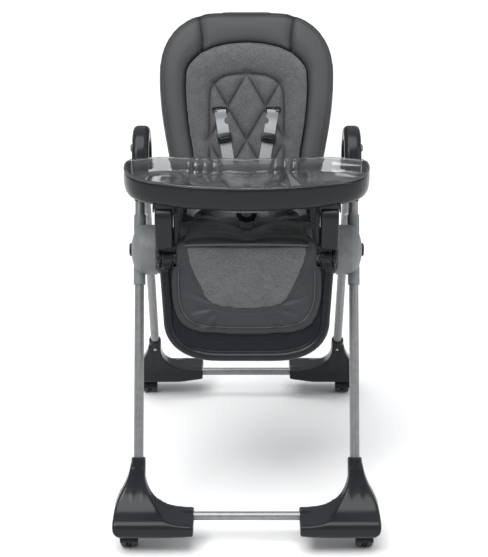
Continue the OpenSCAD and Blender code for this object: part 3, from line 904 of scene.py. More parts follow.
@dataclass(frozen=True)
class Panel:
    """A leaning plane: x from side to side, z up the plane, y into it."""

    origin: Point3
    lean: float
    turn: float = 0.0

    @property
    def matrix(self) -> Matrix:
        """The plane's place in the frame."""
        return (Matrix.Translation(self.origin) @ Matrix.Rotation(self.turn, 4, "Z")
                @ Matrix.Rotation(-self.lean, 4, "X"))

    def place(self, flat: np.ndarray, deep: np.ndarray) -> np.ndarray:
        """Points in the frame for points drawn as (x, z) with a depth y."""
        local = np.column_stack([flat[:, 0], deep, flat[:, 1]])
        return local @ np.array(self.matrix.to_3x3()).T + np.array(self.origin)

    def local(self, points: np.ndarray) -> np.ndarray:
        """Points on the plane for points in the frame."""
        return (points - np.array(self.origin)) @ np.array(self.matrix.to_3x3())

    def outline(self, node: str) -> np.ndarray:
        """A CAD node's outline on the plane, anticlockwise from its lowest right corner.

        Args:
            node: the CAD node.

        Returns:
            The outline's corners, as rows of x and z.
        """
        points = self.local(coords(frame["nodes"][node].data))
        points = points[points[:, 1] < points[:, 1].min() + 0.0005]
        edge = np.unique(np.round(points[:, [0, 2]], 5), axis=0)
        middle = (edge.min(axis=0) + edge.max(axis=0)) / 2
        angles = np.arctan2(edge[:, 1] - middle[1], edge[:, 0] - middle[0])
        reach = np.hypot(*(edge - middle).T)
        kept = [i for i in np.argsort(angles)
                if reach[i] > 0.925 * reach[np.abs(angles - angles[i]) < 0.15].max()]
        return edge[kept]


# ---------------------------------------------------------------- repeated details


class Repeats:
    """Geometry Nodes trees that set small pieces along a line."""

    def __init__(self, seed: int = 7) -> None:
        """Build the tree once."""
        self.seed = seed
        self.tree, self.keys = self._stitch_tree()

    @staticmethod
    def _stitch_tree() -> tuple[bpy.types.NodeTree, dict[str, str]]:
        """Capsules laid end to end along the edges of a mesh line.

        Returns:
            The tree, and its inputs' identifiers by name.
        """
        tree = bpy.data.node_groups.new("stitches", "GeometryNodeTree")
        face = tree.interface
        face.new_socket("Geometry", in_out="INPUT", socket_type="NodeSocketGeometry")
        keys = {}
        for name, kind, value in (("Spacing", "Float", 0.005), ("Length", "Float", 0.0036),
                                  ("Radius", "Float", 0.0005), ("Seed", "Int", 1),
                                  ("Material", "Material", None)):
            made = face.new_socket(name, in_out="INPUT", socket_type="NodeSocket" + kind)
            if value is not None:
                made.default_value = value
            keys[name] = made.identifier
        face.new_socket("Geometry", in_out="OUTPUT", socket_type="NodeSocketGeometry")
        new, link = tree.nodes.new, tree.links.new
        start, end = new("NodeGroupInput"), new("NodeGroupOutput")
        curve, even = new("GeometryNodeMeshToCurve"), new("GeometryNodeResampleCurve")
        even.mode = "LENGTH"
        tangent, turn = new("GeometryNodeInputTangent"), new("FunctionNodeAlignRotationToVector")
        turn.axis = "X"
        ball, size = new("GeometryNodeMeshUVSphere"), new("ShaderNodeCombineXYZ")
        ball.inputs["Segments"].default_value = 6
        ball.inputs["Rings"].default_value = 4
        ball.inputs["Radius"].default_value = 1.0
        half, vary = new("ShaderNodeMath"), new("FunctionNodeRandomValue")
        half.operation = "MULTIPLY"
        vary.inputs[2].default_value, vary.inputs[3].default_value = 0.44, 0.54
        place, real, paint = (new("GeometryNodeInstanceOnPoints"), new("GeometryNodeRealizeInstances"),
                              new("GeometryNodeSetMaterial"))
        link(start.outputs["Geometry"], curve.inputs[0])
        link(curve.outputs[0], even.inputs["Curve"])
        link(start.outputs["Spacing"], even.inputs["Length"])
        link(even.outputs[0], place.inputs["Points"])
        link(ball.outputs["Mesh"], place.inputs["Instance"])
        link(tangent.outputs[0], turn.inputs["Vector"])
        link(turn.outputs[0], place.inputs["Rotation"])
        link(start.outputs["Seed"], vary.inputs["Seed"])
        link(start.outputs["Length"], half.inputs[0])
        link(vary.outputs[1], half.inputs[1])
        link(half.outputs[0], size.inputs[0])
        link(start.outputs["Radius"], size.inputs[1])
        link(start.outputs["Radius"], size.inputs[2])
        link(size.outputs[0], place.inputs["Scale"])
        link(place.outputs[0], real.inputs[0])
        link(real.outputs[0], paint.inputs["Geometry"])
        link(start.outputs["Material"], paint.inputs["Material"])
        link(paint.outputs[0], end.inputs[0])
        return tree, keys

    def stitches(self, name: str, lines: Sequence[np.ndarray], material: bpy.types.Material,
                 spacing: float = 0.005, radius: float = 0.0005) -> bpy.types.Object:
        """Stitches along lines in space, as one plain mesh.

        Args:
            name: the new object's name.
            lines: the lines' points.
            material: the thread's material.
            spacing: distance from stitch to stitch.
            radius: the thread's radius.

        Returns:
            The new object.
        """
        points, edges = [], []
        for line in lines:
            first = len(points)
            points += [tuple(map(float, p)) for p in line]
            edges += [(first + i, first + i + 1) for i in range(len(line) - 1)]
        mesh = bpy.data.meshes.new(name)
        mesh.from_pydata(points, edges, [])
        piece = add_object(name, mesh, smooth=False)
        made = piece.modifiers.new("stitches", "NODES")
        made.node_group = self.tree
        made[self.keys["Spacing"]] = spacing
        made[self.keys["Length"]] = spacing * 0.72
        made[self.keys["Radius"]] = radius
        made[self.keys["Seed"]] = self.seed
        made[self.keys["Material"]] = material
        bake_modifiers(piece)
        piece.data.shade_smooth()
        return piece


# ---------------------------------------------------------------- padding


@dataclass(frozen=True)
class Seam:
    """A sewn line on a pad: the cloth is held down along it."""

    line: np.ndarray
    width: float = 0.012
    depth: float = 0.005
    groove: float = 0.002
    # shade: how dark the painted shade in the seam's groove is.
    shade: float = 0.6


@dataclass
class Pad:
    """A stuffed panel. It is remeshed, shaped, held along its seams and blown up as cloth."""

    name: str
    panel: Panel
    outline: np.ndarray
    front: float
    back: float
    rise: Callable[[np.ndarray], np.ndarray]
    bend: Callable[[np.ndarray], np.ndarray] | None = None
    seams: list[Seam] = field(default_factory=list)
    voxel: float = 0.005
    pressure: float = 4.0
    cap: float = 0.007
    levels: int = 1
    piece: bpy.types.Object | None = None

    def build(self) -> bpy.types.Object:
        """Make the pad, still in its panel's own coordinates.

        Returns:
            The pad's object.
        """
        count = max(24, int(self._length() / self.voxel))
        ring = resample(self.outline, count, closed=True)
        front = np.column_stack([ring[:, 0], np.full(count, self.front), ring[:, 1]])
        back = np.column_stack([ring[:, 0], np.full(count, self.back), ring[:, 1]])
        faces = grid_faces(2, count)
        faces += [list(range(count)), list(range(count, 2 * count))]
        self.piece = from_arrays(self.name, np.concatenate([front, back]), faces)
        remesh(self.piece, self.voxel)
        relax(self.piece, 3)
        self._shape()
        self._inflate()
        if self.levels:
            subdivide(self.piece, self.levels)
        self._carve()
        return self.piece

    def _length(self) -> float:
        """Length of the outline."""
        closed = np.vstack([self.outline, self.outline[:1]])
        return float(np.linalg.norm(np.diff(closed, axis=0), axis=1).sum())

    def _flat(self, points: np.ndarray) -> np.ndarray:
        """The panel's x and z of each point."""
        return points[:, [0, 2]]

    def _shape(self) -> None:
        """Raise the face to its crown and press the seams in."""
        points = coords(self.piece.data)
        flat = self._flat(points)
        share = np.clip((self.back - points[:, 1]) / (self.back - self.front), 0.0, 1.0)
        lift = self.rise(flat)
        for seam in self.seams:
            gap = distance_to(flat, seam.line)
            lift = lift - seam.depth * np.exp(-(gap / seam.width) ** 2)
        points[:, 1] -= share * lift
        if self.bend:
            points[:, 1] -= self.bend(flat)
        set_coords(self.piece.data, points)

    def _inflate(self) -> None:
        """Blow the pad up as cloth, with its back and its seams held."""
        piece = self.piece
        rest = coords(piece.data)
        flat = self._flat(rest)
        base = rest[:, 1] + (self.bend(flat) if self.bend else 0.0)
        held = base > self.back - 0.4 * self.voxel
        for seam in self.seams:
            held |= distance_to(flat, seam.line) < 0.7 * self.voxel
        group = piece.vertex_groups.new(name="held")
        group.add([int(i) for i in np.flatnonzero(held)], 1.0, "REPLACE")
        cloth = piece.modifiers.new("cloth", "CLOTH")
        settings = cloth.settings
        settings.quality = 4
        settings.mass = 0.3
        settings.tension_stiffness = settings.compression_stiffness = 12.0
        settings.shear_stiffness = 4.0
        settings.bending_stiffness = 0.25
        settings.use_pressure = True
        settings.uniform_pressure_force = self.pressure
        settings.vertex_group_mass = "held"
        settings.effector_weights.gravity = 0.0
        cloth.collision_settings.use_collision = False
        cloth.collision_settings.use_self_collision = False
        scene = bpy.context.scene
        for step in range(1, CLOTH_FRAMES + 1):
            scene.frame_set(step)
            bpy.context.view_layer.update()
        depsgraph = bpy.context.evaluated_depsgraph_get()
        blown = coords(piece.evaluated_get(depsgraph).data)
        piece.modifiers.clear()
        piece.vertex_groups.clear()
        scene.frame_set(1)
        move = blown - rest
        move[~np.isfinite(move).all(axis=1)] = 0.0
        reach = np.linalg.norm(move, axis=1)
        LOG.info("%s moved by up to %.1f mm as cloth", self.name, 1000 * reach.max())
        move *= (np.minimum(reach, self.cap) / np.maximum(reach, 1e-9))[:, None]
        points = rest + move
        points[:, 1] = np.minimum(points[:, 1], rest[:, 1].max())
        set_coords(piece.data, points)

    def _carve(self) -> None:
        """Cut the narrow groove of each seam into the finished face, and store painted shade along it for the
        finish.
        """
        points = coords(self.piece.data)
        flat = self._flat(points)
        face = np.clip((self.back - 0.004 - points[:, 1]) / 0.006, 0.0, 1.0)
        if self.bend:
            face = np.ones(len(points))
        painted_shade = np.zeros(len(points))
        for seam in self.seams:
            if seam.groove:
                gap = distance_to(flat, seam.line)
                points[:, 1] += face * seam.groove * np.exp(-(gap / GROOVE_REACH) ** 2)
                # Painted shade along each groove, with a fainter halo beside it, stands in for the seam's
                # shadow.
                painted_shade = np.maximum(painted_shade, seam.shade * np.exp(-(gap / SHADE_REACH) ** 2)
                                  + 0.4 * seam.shade * np.exp(-(gap / HALO_REACH) ** 2))
        set_coords(self.piece.data, points)
        shade = self.piece.data.attributes.new("seam", "FLOAT", "POINT")
        shade.data.foreach_set("value", (painted_shade * face).astype(np.float32))

    def on_face(self, line: np.ndarray, above: float = 0.0, count: int | None = None) -> np.ndarray:
        """Points on the pad's face in space, over a line drawn on its panel.

        Args:
            line: the line's corners on the panel.
            above: how far the points stand proud of the face.
            count: how many points to make; about one each 4 mm if left out.

        Returns:
            Points in the frame.
        """
        length = float(np.linalg.norm(np.diff(line, axis=0), axis=1).sum())
        flat = resample(line, count or max(4, int(length / 0.004)), closed=False)
        mesh = self.piece.data
        tree = BVHTree.FromPolygons([v.co for v in mesh.vertices], [p.vertices for p in mesh.polygons])
        deep = []
        for x, z in flat:
            hit = tree.ray_cast(Vector((x, self.front - 0.3, z)), Vector((0, 1, 0)))[0]
            deep.append(hit.y - above if hit else (deep[-1] if deep else self.front))
        return self.panel.place(flat, np.array(deep))

    def put(self) -> None:
        """Move the finished mesh to its place in the frame."""
        self.piece.data.transform(self.panel.matrix)
        self.piece.data.update()


def puff(gap: np.ndarray, height: float, reach: float) -> np.ndarray:
    """A crown that climbs steeply from an edge and levels off."""
    return height * (1.0 - np.exp(-np.maximum(gap, 0.0) / reach))


def scaled(points: Sequence[Point], unit: float = 0.001) -> np.ndarray:
    """Millimetre points as metres."""
    return np.array(points, float) * unit


def mirrored_rows(half: np.ndarray) -> np.ndarray:
    """A line drawn at x > 0 towards x = 0, carried on as its own mirror image."""
    other = half[::-1][half[::-1][:, 0] > 1e-6]
    return np.vstack([half, other * (-1, 1)])


def inset(outline: np.ndarray, distance: float, count: int = 160) -> np.ndarray:
    """A closed outline moved inwards."""
    ring = resample(outline, count, closed=True)
    return ring + inward(ring, closed=True) * distance


def closed_line(points: np.ndarray) -> np.ndarray:
    """A ring with its first point repeated at the end."""
    return np.vstack([points, points[:1]])


# ---------------------------------------------------------------- webbing


@dataclass(frozen=True)
class Webbing:
    """A woven strap with rounded selvedges."""

    width: float = 0.027
    thickness: float = 0.0024

    def sweep(self, name: str, path: np.ndarray, facing: np.ndarray, count: int = 90) -> bpy.types.Object:
        """Carry the strap's section along a path.

        Args:
            name: the new object's name.
            path: points in space.
            facing: the direction that the strap's face looks in, one row or one for each point.
            count: how many sections are made.

        Returns:
            The new object.
        """
        looks = np.broadcast_to(facing, path.shape).astype(float)
        centre = resample(path, count, closed=False)
        steps = np.concatenate([[0.0], np.cumsum(np.linalg.norm(np.diff(path, axis=0), axis=1))])
        places = np.linspace(0.0, steps[-1], count)
        looks = np.stack([np.interp(places, steps, looks[:, i]) for i in range(3)], axis=1)
        ahead = np.gradient(centre, axis=0)
        ahead /= np.linalg.norm(ahead, axis=1)[:, None]
        side = np.cross(ahead, looks)
        side /= np.linalg.norm(side, axis=1)[:, None]
        up = np.cross(side, ahead)
        section = superellipse((0.0, 0.0), (self.width / 2, self.thickness / 2), 5.0, 0.0, 350.0, 27)
        rows = [centre + side * a + up * (b + 0.00035 * math.cos(a / self.width * 9.4)) for a, b in section]
        points = np.stack(rows, axis=1).reshape(-1, 3)
        sides = len(section)
        faces = grid_faces(count, sides)
        faces += [list(range(sides)), [(count - 1) * sides + j for j in range(sides)]]
        return from_arrays(name, points, faces)


def spline(corners: Sequence[Sequence[float]], count: int = 60) -> np.ndarray:
    """A smooth line through corners in space.

    Args:
        corners: the points that the line passes through.
        count: about how many points to make.

    Returns:
        The line's points.
    """
    knots = np.array(corners, float)
    padded = np.vstack([2 * knots[0] - knots[1], knots, 2 * knots[-1] - knots[-2]])
    points = []
    for i in range(1, len(padded) - 2):
        a, b, c, d = padded[i - 1:i + 3]
        for t in np.linspace(0, 1, count // (len(knots) - 1) + 1)[:-1]:
            points.append(0.5 * (2 * b + (c - a) * t + (2 * a - 5 * b + 4 * c - d) * t ** 2
                                 + (3 * b - a - 3 * c + d) * t ** 3))
    points.append(knots[-1])
    return np.array(points)


# ---------------------------------------------------------------- sub-assemblies


@dataclass
class FrameParts:
    """Tubes, feet and fold caps. Mouldings get rounded skins; tubes stay as they are."""

    paint: Paintbox
    foot_voxel: float = 0.0026
    foot_rounds: int = 14
    cap_voxel: float = 0.0024
    cap_rounds: int = 8
    neck_x: float = 0.244

    def build(self) -> None:
        """Make the rounded feet and caps."""
        for end, body in (("front", "front_frame"), ("rear", "rear_frame")):
            for side in ("left", "right"):
                node = f"{end}_foot_{side}"
                foot = moulded_copy(node, f"foot_skin_{end}_{side}", self.foot_voxel, self.foot_rounds)
                self._ridges(foot, node)
                self.paint.hand_over(foot, Slot.DARK, body)
        for side in ("left", "right"):
            cap = moulded_copy(f"fold_cap_{side}", f"cap_skin_{side}", self.cap_voxel, self.cap_rounds)
            recess(cap, f"fold_button_{side}", *press(f"fold_press_{side}"))
            self.paint.hand_over(cap, Slot.DARK, "front_frame")

    def _ridges(self, foot: bpy.types.Object, node: str) -> None:
        """Two soft ridges that run up the neck of a foot.

        Args:
            foot: the foot's skin.
            node: the foot's CAD node.
        """
        low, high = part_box(node)
        points = coords(foot.data)
        middle = self.neck_x * (1 if low.x + high.x > 0 else -1)
        climb = np.clip((points[:, 2] - low.z - 0.05) / 0.04, 0, 1) * np.clip(
            (high.z - 0.02 - points[:, 2]) / 0.03, 0, 1)
        wave = np.exp(-((np.abs(points[:, 0] - middle) - 0.012) / 0.0045) ** 2)
        normals = np.empty(len(points) * 3)
        foot.data.vertices.foreach_get("normal", normals)
        facing = normals.reshape(-1, 3)
        points += facing * (0.0016 * wave * climb * np.abs(facing[:, 1]))[:, None]
        set_coords(foot.data, points)


@dataclass
class SeatParts:
    """The seat cushion, its harness and the armrests."""

    paint: Paintbox
    repeats: Repeats
    half: float = 0.136
    nose: float = -0.222
    teeth: int = 5
    tooth_x: float = 0.1665
    tooth_step: float = 0.0048

    def build(self) -> None:
        """Make the soft seat and the harness."""
        self._liner()
        self._sides()
        self._insert()
        self._arms()
        self._teeth()
        self._harness()

    def _profile(self, y: np.ndarray) -> np.ndarray:
        """Height of the seat's top over its length.

        Args:
            y: places along the seat.

        Returns:
            One height for each place.
        """
        knots = scaled([(-228, 652), (-222, 662), (-214, 668), (-200, 669), (-170, 663), (-110, 651),
                        (-50, 642), (5, 640)])
        return np.interp(y, knots[:, 0], knots[:, 1])

    @staticmethod
    def _top_panel() -> Panel:
        """A level panel whose z runs towards the back and whose face looks up."""
        return Panel((0.0, 0.0, 0.0), math.pi / 2)

    def _liner(self) -> None:
        """The dark cloth under and beside the heather insert."""
        low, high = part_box("seat_cushion")
        panel = self._top_panel()
        outline = np.array([(low.x, low.y + 0.006), (high.x, low.y + 0.006), (high.x, high.y),
                            (low.x, high.y)])
        bottom, top = low.z + 0.001, low.z + 0.05
        pad = Pad("seat_liner", panel, outline, -top, -bottom,
                  rise=lambda flat: self._profile(flat[:, 1]) - top - 0.008
                  + puff(high.x - np.abs(flat[:, 0]), 0.003, 0.006), pressure=2.0, cap=0.005)
        piece = pad.build()
        pad.put()
        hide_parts("seat_cushion")
        self.paint.hand_over(piece, Slot.COVER, "seat", self.paint.liner)

    def _sides(self) -> None:
        """Padded side walls between the cushion and the armrests."""
        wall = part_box("armrest_right")[0].x - 0.001
        corners = [(-207, 652), (-209, 690), (-206, 730), (-196, 738),
                   (20, 738), (30, 731), (8, 690), (-12, 645)]
        for sign in (-1, 1):
            panel = Panel((sign * wall, 0.0, 0.0), 0.0, -sign * math.pi / 2)
            ring = scaled(corners) * (-sign, 1)
            edge = closed_line(ring)
            middle = scaled([(-180, 700), (0, 700)]) * (-sign, 1)
            pad = Pad(f"side_pad_{'right' if sign > 0 else 'left'}", panel, ring, -0.009, 0.0,
                      rise=lambda flat, edge=edge: puff(distance_to(flat, edge), 0.005, 0.01),
                      seams=[Seam(middle, 0.009, 0.003)], cap=0.005)
            piece = pad.build()
            pad.put()
            self.paint.hand_over(piece, Slot.COVER, "seat", self.paint.liner)

    def _insert(self) -> None:
        """The heather insert, with a hollow for each thigh and a piped front fold."""
        panel = self._top_panel()
        half, nose = self.half, self.nose
        outline = scaled([(-136, -224), (136, -224), (136, -60), (126, 2), (-126, 2), (-136, -60)])
        crotch = np.array([(0.0, -0.19), (0.0, -0.11)])

        def rise(flat: np.ndarray) -> np.ndarray:
            """Height of the insert's crown and of its hollows' sides.

            Args:
                flat: points on the panel, as rows of x and z.

            Returns:
                One height for each point.
            """
            thigh = np.exp(-((np.abs(flat[:, 0]) - 0.078) / 0.036) ** 2)
            fore = np.exp(-((flat[:, 1] + 0.13) / 0.06) ** 2)
            return puff(half - np.abs(flat[:, 0]), 0.006, 0.01) + 0.012 * thigh * fore

        def bend(flat: np.ndarray) -> np.ndarray:
            """Lift from the level panel to the seat's own profile."""
            drop = np.clip((nose + 0.016 - flat[:, 1]) / 0.016, 0, 1)
            return self._profile(flat[:, 1]) - 0.66 - 0.012 * drop ** 2

        # The seam across the insert's front paints a dark shade line behind the fold piping.
        pad = Pad("seat_insert", panel, outline, -0.664, -0.654, rise=rise, bend=bend,
                  seams=[Seam(crotch, 0.03, 0.012, 0.0),
                         Seam(scaled([(-136, -215), (136, -215)]), 0.006, 0.002, 0.001, 0.7)],
                  pressure=3.0, cap=0.006)
        piece = pad.build()
        line = pad.on_face(scaled([(-133, -211), (133, -211)]), 0.0002)
        wide = np.linspace(-0.1365, 0.1365, 60)
        fold = np.column_stack([wide, np.full(60, -0.2285) + 0.3 * wide ** 2, 0.6635 - 0.25 * wide ** 2])
        pipe = tube_along("fold_piping", fold, 0.0027)
        self.paint.hand_over(pipe, Slot.HEATHER, "seat", self.paint.piping)
        pad.put()
        # The insert takes the darker heather copy, painted shade for the tray's shadow over the seat.
        self.paint.hand_over(piece, Slot.HEATHER, "seat", self.paint.seat)
        seam = self.repeats.stitches("seat_stitches", [line], self.paint.thread)
        self.paint.hand_over(seam, Slot.HEATHER, "seat", self.paint.thread)

    def _arms(self) -> None:
        """Armrests with rounded edges."""
        for side in ("left", "right"):
            arm = moulded_copy(f"armrest_{side}", f"arm_skin_{side}", 0.0026, 8)
            self.paint.hand_over(arm, Slot.DARK, "seat")

    def _teeth(self) -> None:
        """A short row of teeth between each armrest post and the legrest barrel under it."""
        low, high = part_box("legrest_pins")
        axle_y, axle_z = (low.y + high.y) / 2, (low.z + high.z) / 2
        section = [(0.0, axle_z + 0.03), (0.0, axle_z + 0.0185), (0.0006, axle_z + 0.0175)]
        parts = []
        for sign in (-1, 1):
            for step in range(self.teeth):
                x = sign * (self.tooth_x + self.tooth_step * step)
                ring = np.array(superellipse((x, axle_y), (0.0016, 0.013), 5.0, 0, 345, 23))
                parts.append(loft("tooth", ring, section, True, upright(), ring=False))
        piece = joined("ratchet_teeth", parts)
        self.paint.hand_over(piece, Slot.DARK, "seat")

    def _harness(self) -> None:
        """Crotch and waist straps, and a rounded buckle."""
        low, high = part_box("buckle")
        middle_y, top = (low.y + high.y) / 2, high.z
        web = Webbing()
        crotch_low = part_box("crotch_strap")[0]
        rise = spline([(0, crotch_low.y + 0.0015, crotch_low.z), (0, crotch_low.y, crotch_low.z + 0.04),
                       (0, crotch_low.y + 0.0015, low.z + 0.02)])
        crotch = web.sweep("crotch_web", rise, np.array([0, -1, 0]))
        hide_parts("crotch_strap")
        self.paint.hand_over(crotch, Slot.WEBBING, "seat")
        parts = []
        for sign in (-1, 1):
            path = spline([(sign * 0.016, middle_y, top - 0.02),
                           (sign * 0.06, middle_y + 0.006, top - 0.028),
                           (sign * 0.11, middle_y + 0.06, top - 0.045),
                           (sign * 0.138, middle_y + 0.112, 0.662)])
            facing = np.array([(0.0, -1.0, 0.12)] * len(path))
            facing[:, 0] = -sign * np.linspace(0.0, 1.2, len(path))
            parts.append(web.sweep("waist", path, facing))
        waist = joined("waist_web", parts)
        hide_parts("waist_straps")
        self.paint.hand_over(waist, Slot.WEBBING, "seat")
        buckle = moulded_copy("buckle", "buckle_skin", 0.0012, 6)
        recess(buckle, "buckle_button", *press("buckle_press"))
        self.paint.hand_over(buckle, Slot.DARK, "seat")


@dataclass
class BackrestParts:
    """The padded backrest: cover, quilted heather insert, shoulder straps and sliders."""

    paint: Paintbox
    repeats: Repeats
    lean: float = math.radians(24.0)
    lattice_top: float = 0.376
    lattice_step: float = 0.158
    lattice_slope: float = 1.7556
    inner_half: float = 0.088
    slot: Point = (62.0, 289.0)

    def __post_init__(self) -> None:
        """Find the panel from the hinge pin, and the outlines from the frame."""
        low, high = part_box("recline_pins")
        centre = (low + high) / 2
        self.panel = Panel((0.0, centre.y, centre.z), self.lean)
        self.cover_line = self.panel.outline("backrest_pad")
        self.half = scaled([(112, 46), (118, 120), (127, 198), (136, 250), (140, 287), (143, 320),
                            (144, 347), (142.5, 380), (137, 395), (125, 411), (105, 428), (75, 441),
                            (40, 449), (0, 452)])
        self.insert_line = mirrored_rows(self.half)

    def build(self) -> None:
        """Make the cover, the insert and the straps."""
        self._cover()
        self._insert()
        self._tuck()
        self._straps()

    def _top_seams(self) -> list[np.ndarray]:
        """The two seams from the top edge down to the insert's shoulders."""
        right = scaled([(113, 512), (108, 490), (105, 460), (105, 424)])
        return [right, right * (-1, 1)]

    def _cover(self) -> None:
        """The dark cover: two crowned wings and a flat panel above the insert."""
        edge = closed_line(self.cover_line)
        hollow = closed_line(self.insert_line)

        def inside(flat: np.ndarray) -> np.ndarray:
            """Whether a point lies under the insert."""
            wide = np.interp(flat[:, 1], self.half[:, 1], self.half[:, 0], left=0.11, right=0.0)
            return np.abs(flat[:, 0]) < wide

        def rise(flat: np.ndarray) -> np.ndarray:
            """Height of the wings' crown and of the flatter top.

            Args:
                flat: points on the panel, as rows of x and z.

            Returns:
                One height for each point.
            """
            outer, inner = distance_to(flat, edge), distance_to(flat, hollow)
            wing = puff(np.minimum(outer * 0.8, inner * 1.3), 0.017, 0.02)
            top = np.clip((0.112 - np.abs(flat[:, 0])) / 0.012, 0, 1) * np.clip(
                (flat[:, 1] - 0.43) / 0.02, 0, 1)
            lift = wing * (1 - 0.62 * top)
            return np.where(inside(flat), -0.004, lift)

        # The seams' shade paints dark shade lines down the top seams and deep shade in the channel round the
        # insert.
        seams = [Seam(line, 0.010, 0.009, 0.003, 0.9) for line in self._top_seams()]
        rim = closed_line(inset(self.cover_line, 0.011))
        seams += [Seam(rim, 0.004, 0.0015, 0.001, 0.3), Seam(hollow, 0.006, 0.004, 0.002, 1.0)]
        low, high = self._depths("backrest_pad")
        pad = Pad("back_cover", self.panel, self.cover_line, low, high, rise=rise, seams=seams, cap=0.009)
        piece = pad.build()
        piping = closed_line(inset(self.cover_line, 0.0045))
        pipe = tube_along("back_piping", pad.on_face(piping, -0.0002)[:-1], 0.0017, closed=True)
        rows = [pad.on_face(closed_line(inset(self.cover_line, 0.0085)), 0.0003)]
        rows += [pad.on_face(line + (0.0028 * s, 0), 0.0003) for line in self._top_seams() for s in (-1, 1)]
        stitches = self.repeats.stitches("back_stitches", rows, self.paint.thread, 0.0045)
        pad.put()
        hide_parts("backrest_pad")
        self.paint.hand_over(piece, Slot.COVER, "backrest")
        self.paint.hand_over(pipe, Slot.COVER, "backrest", self.paint.liner)
        self.paint.hand_over(stitches, Slot.COVER, "backrest", self.paint.thread)

    def _depths(self, node: str) -> tuple[float, float]:
        """Front and back of a node on the panel."""
        deep = self.panel.local(coords(frame["nodes"][node].data))[:, 1]
        return float(deep.min()), float(deep.max())

    def _inner_line(self) -> np.ndarray:
        """The arched inner panel of the insert."""
        return mirrored_rows(np.vstack([[(self.inner_half, 0.046)], self._roof()[::-1]]))

    def _quilting(self) -> list[np.ndarray]:
        """Crossing quilt lines, cut to the inner panel.

        Returns:
            The lines' points on the panel.
        """
        lines = []
        for step in range(3):
            for sign in (-1, 1):
                xs = np.linspace(-self.inner_half, self.inner_half, 89)
                ups = self.lattice_top - self.lattice_step * step - sign * self.lattice_slope * xs
                roof = np.interp(np.abs(xs), *self._roof().T)
                kept = (ups < roof - 0.001) & (ups > 0.05)
                if kept.sum() > 3:
                    lines.append(np.column_stack([xs[kept], ups[kept]]))
        return lines

    @staticmethod
    def _roof() -> np.ndarray:
        """Height of the inner panel's arch by distance from the middle."""
        return scaled([(0, 376.5), (24, 375), (48, 371), (65, 363), (77.6, 352), (84, 340), (87, 328),
                       (88, 300)])

    def _insert(self) -> None:
        """The quilted heather insert."""
        edge = closed_line(self.insert_line)

        def rise(flat: np.ndarray) -> np.ndarray:
            """Height of the insert's crown."""
            return puff(distance_to(flat, edge), 0.008, 0.014) - 0.004

        # The quilt and inner-panel seams paint shade along their grooves.
        seams = [Seam(self._inner_line(), 0.008, 0.006, 0.0024, 0.7)]
        seams += [Seam(line, 0.010, 0.0055, 0.0024, 0.62) for line in self._quilting()]
        low, high = self._depths("back_insert")
        pad = Pad("back_quilt", self.panel, self.insert_line, low, high, rise=rise, seams=seams,
                  cap=0.006, pressure=5.0, voxel=0.004)
        piece = pad.build()
        rows = [pad.on_face(seam.line, 0.0001) for seam in seams]
        stitches = self.repeats.stitches("quilt_stitches", rows, self.paint.thread, 0.0042, 0.00045)
        rim = closed_line(inset(self.insert_line, 0.004))
        pipe = tube_along("quilt_piping", pad.on_face(rim, -0.0006)[:-1], 0.0018, closed=True)
        self._slots(pad)
        fall = scaled([(62, 287), (59, 266), (54, 236), (45, 186), (38, 140)])
        self.strap_lines = {sign: pad.on_face(fall * (sign, 1), 0.002, 30) for sign in (-1, 1)}
        pad.put()
        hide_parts("back_insert")
        self.paint.hand_over(piece, Slot.HEATHER, "backrest")
        self.paint.hand_over(pipe, Slot.HEATHER, "backrest")
        self.paint.hand_over(stitches, Slot.HEATHER, "backrest", self.paint.thread)

    def _slots(self, pad: Pad) -> None:
        """Dark lips round the strap slots.

        Args:
            pad: the insert, still on its panel.
        """
        lips = []
        for sign in (-1, 1):
            centre = (sign * self.slot[0], self.slot[1])
            ring = scaled(superellipse(centre, (18, 5.5), 4.0, 0.0, 345.0, 23))
            points = pad.on_face(closed_line(ring), 0.0006, 40)[:-1]
            lips.append(tube_along("lip", points, 0.0022, closed=True))
            inner = scaled(superellipse(centre, (17, 4.5), 4.0, 0.0, 345.0, 23))
            flat = pad.on_face(closed_line(inner), 0.0003, 40)[:-1]
            lips.append(from_arrays("slot", flat, [list(range(len(flat)))]))
        piece = joined("slot_lips", lips)
        self.paint.hand_over(piece, Slot.DARK, "backrest")

    def _tuck(self) -> None:
        """Dark cloth that closes the gap between the backrest and the cushion."""
        ring = scaled([(-158, -4), (158, -4), (166, 30), (172, 74), (-172, 74), (-166, 30)])
        edge = closed_line(ring)
        pad = Pad("back_tuck", self.panel, ring, -0.006, 0.006,
                  rise=lambda flat: puff(distance_to(flat, edge), 0.005, 0.012), cap=0.004)
        piece = pad.build()
        pad.put()
        self.paint.paint(piece, self.paint.liner)
        matrix = self.panel.matrix
        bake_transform(piece)

    def _straps(self) -> None:
        """Shoulder straps from the slots down to the buckle, with their sliders."""
        normal = np.array(self.panel.matrix.to_3x3() @ Vector((0, -1, 0)))
        low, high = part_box("buckle")
        web = Webbing()
        for side, sign in (("left", -1), ("right", 1)):
            start = self.strap_lines[sign]
            slot_in = self.panel.place(scaled([(sign * self.slot[0], self.slot[1])]), np.array([0.0]))
            end = [(sign * 0.03, (low.y + high.y) / 2 + 0.055, high.z + 0.03),
                   (sign * 0.014, (low.y + high.y) / 2, high.z - 0.014)]
            path = spline([tuple(slot_in[0]), tuple(start[0]), *[tuple(p) for p in start[4::5]], *end], 120)
            strap = web.sweep(f"shoulder_web_{side}", path, normal, 140)
            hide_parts(f"shoulder_strap_{side}")
            self.paint.paint(strap, self.paint.materials[Slot.WEBBING])
            tuple(start[-1])
            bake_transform(strap)
        self._sliders(normal)

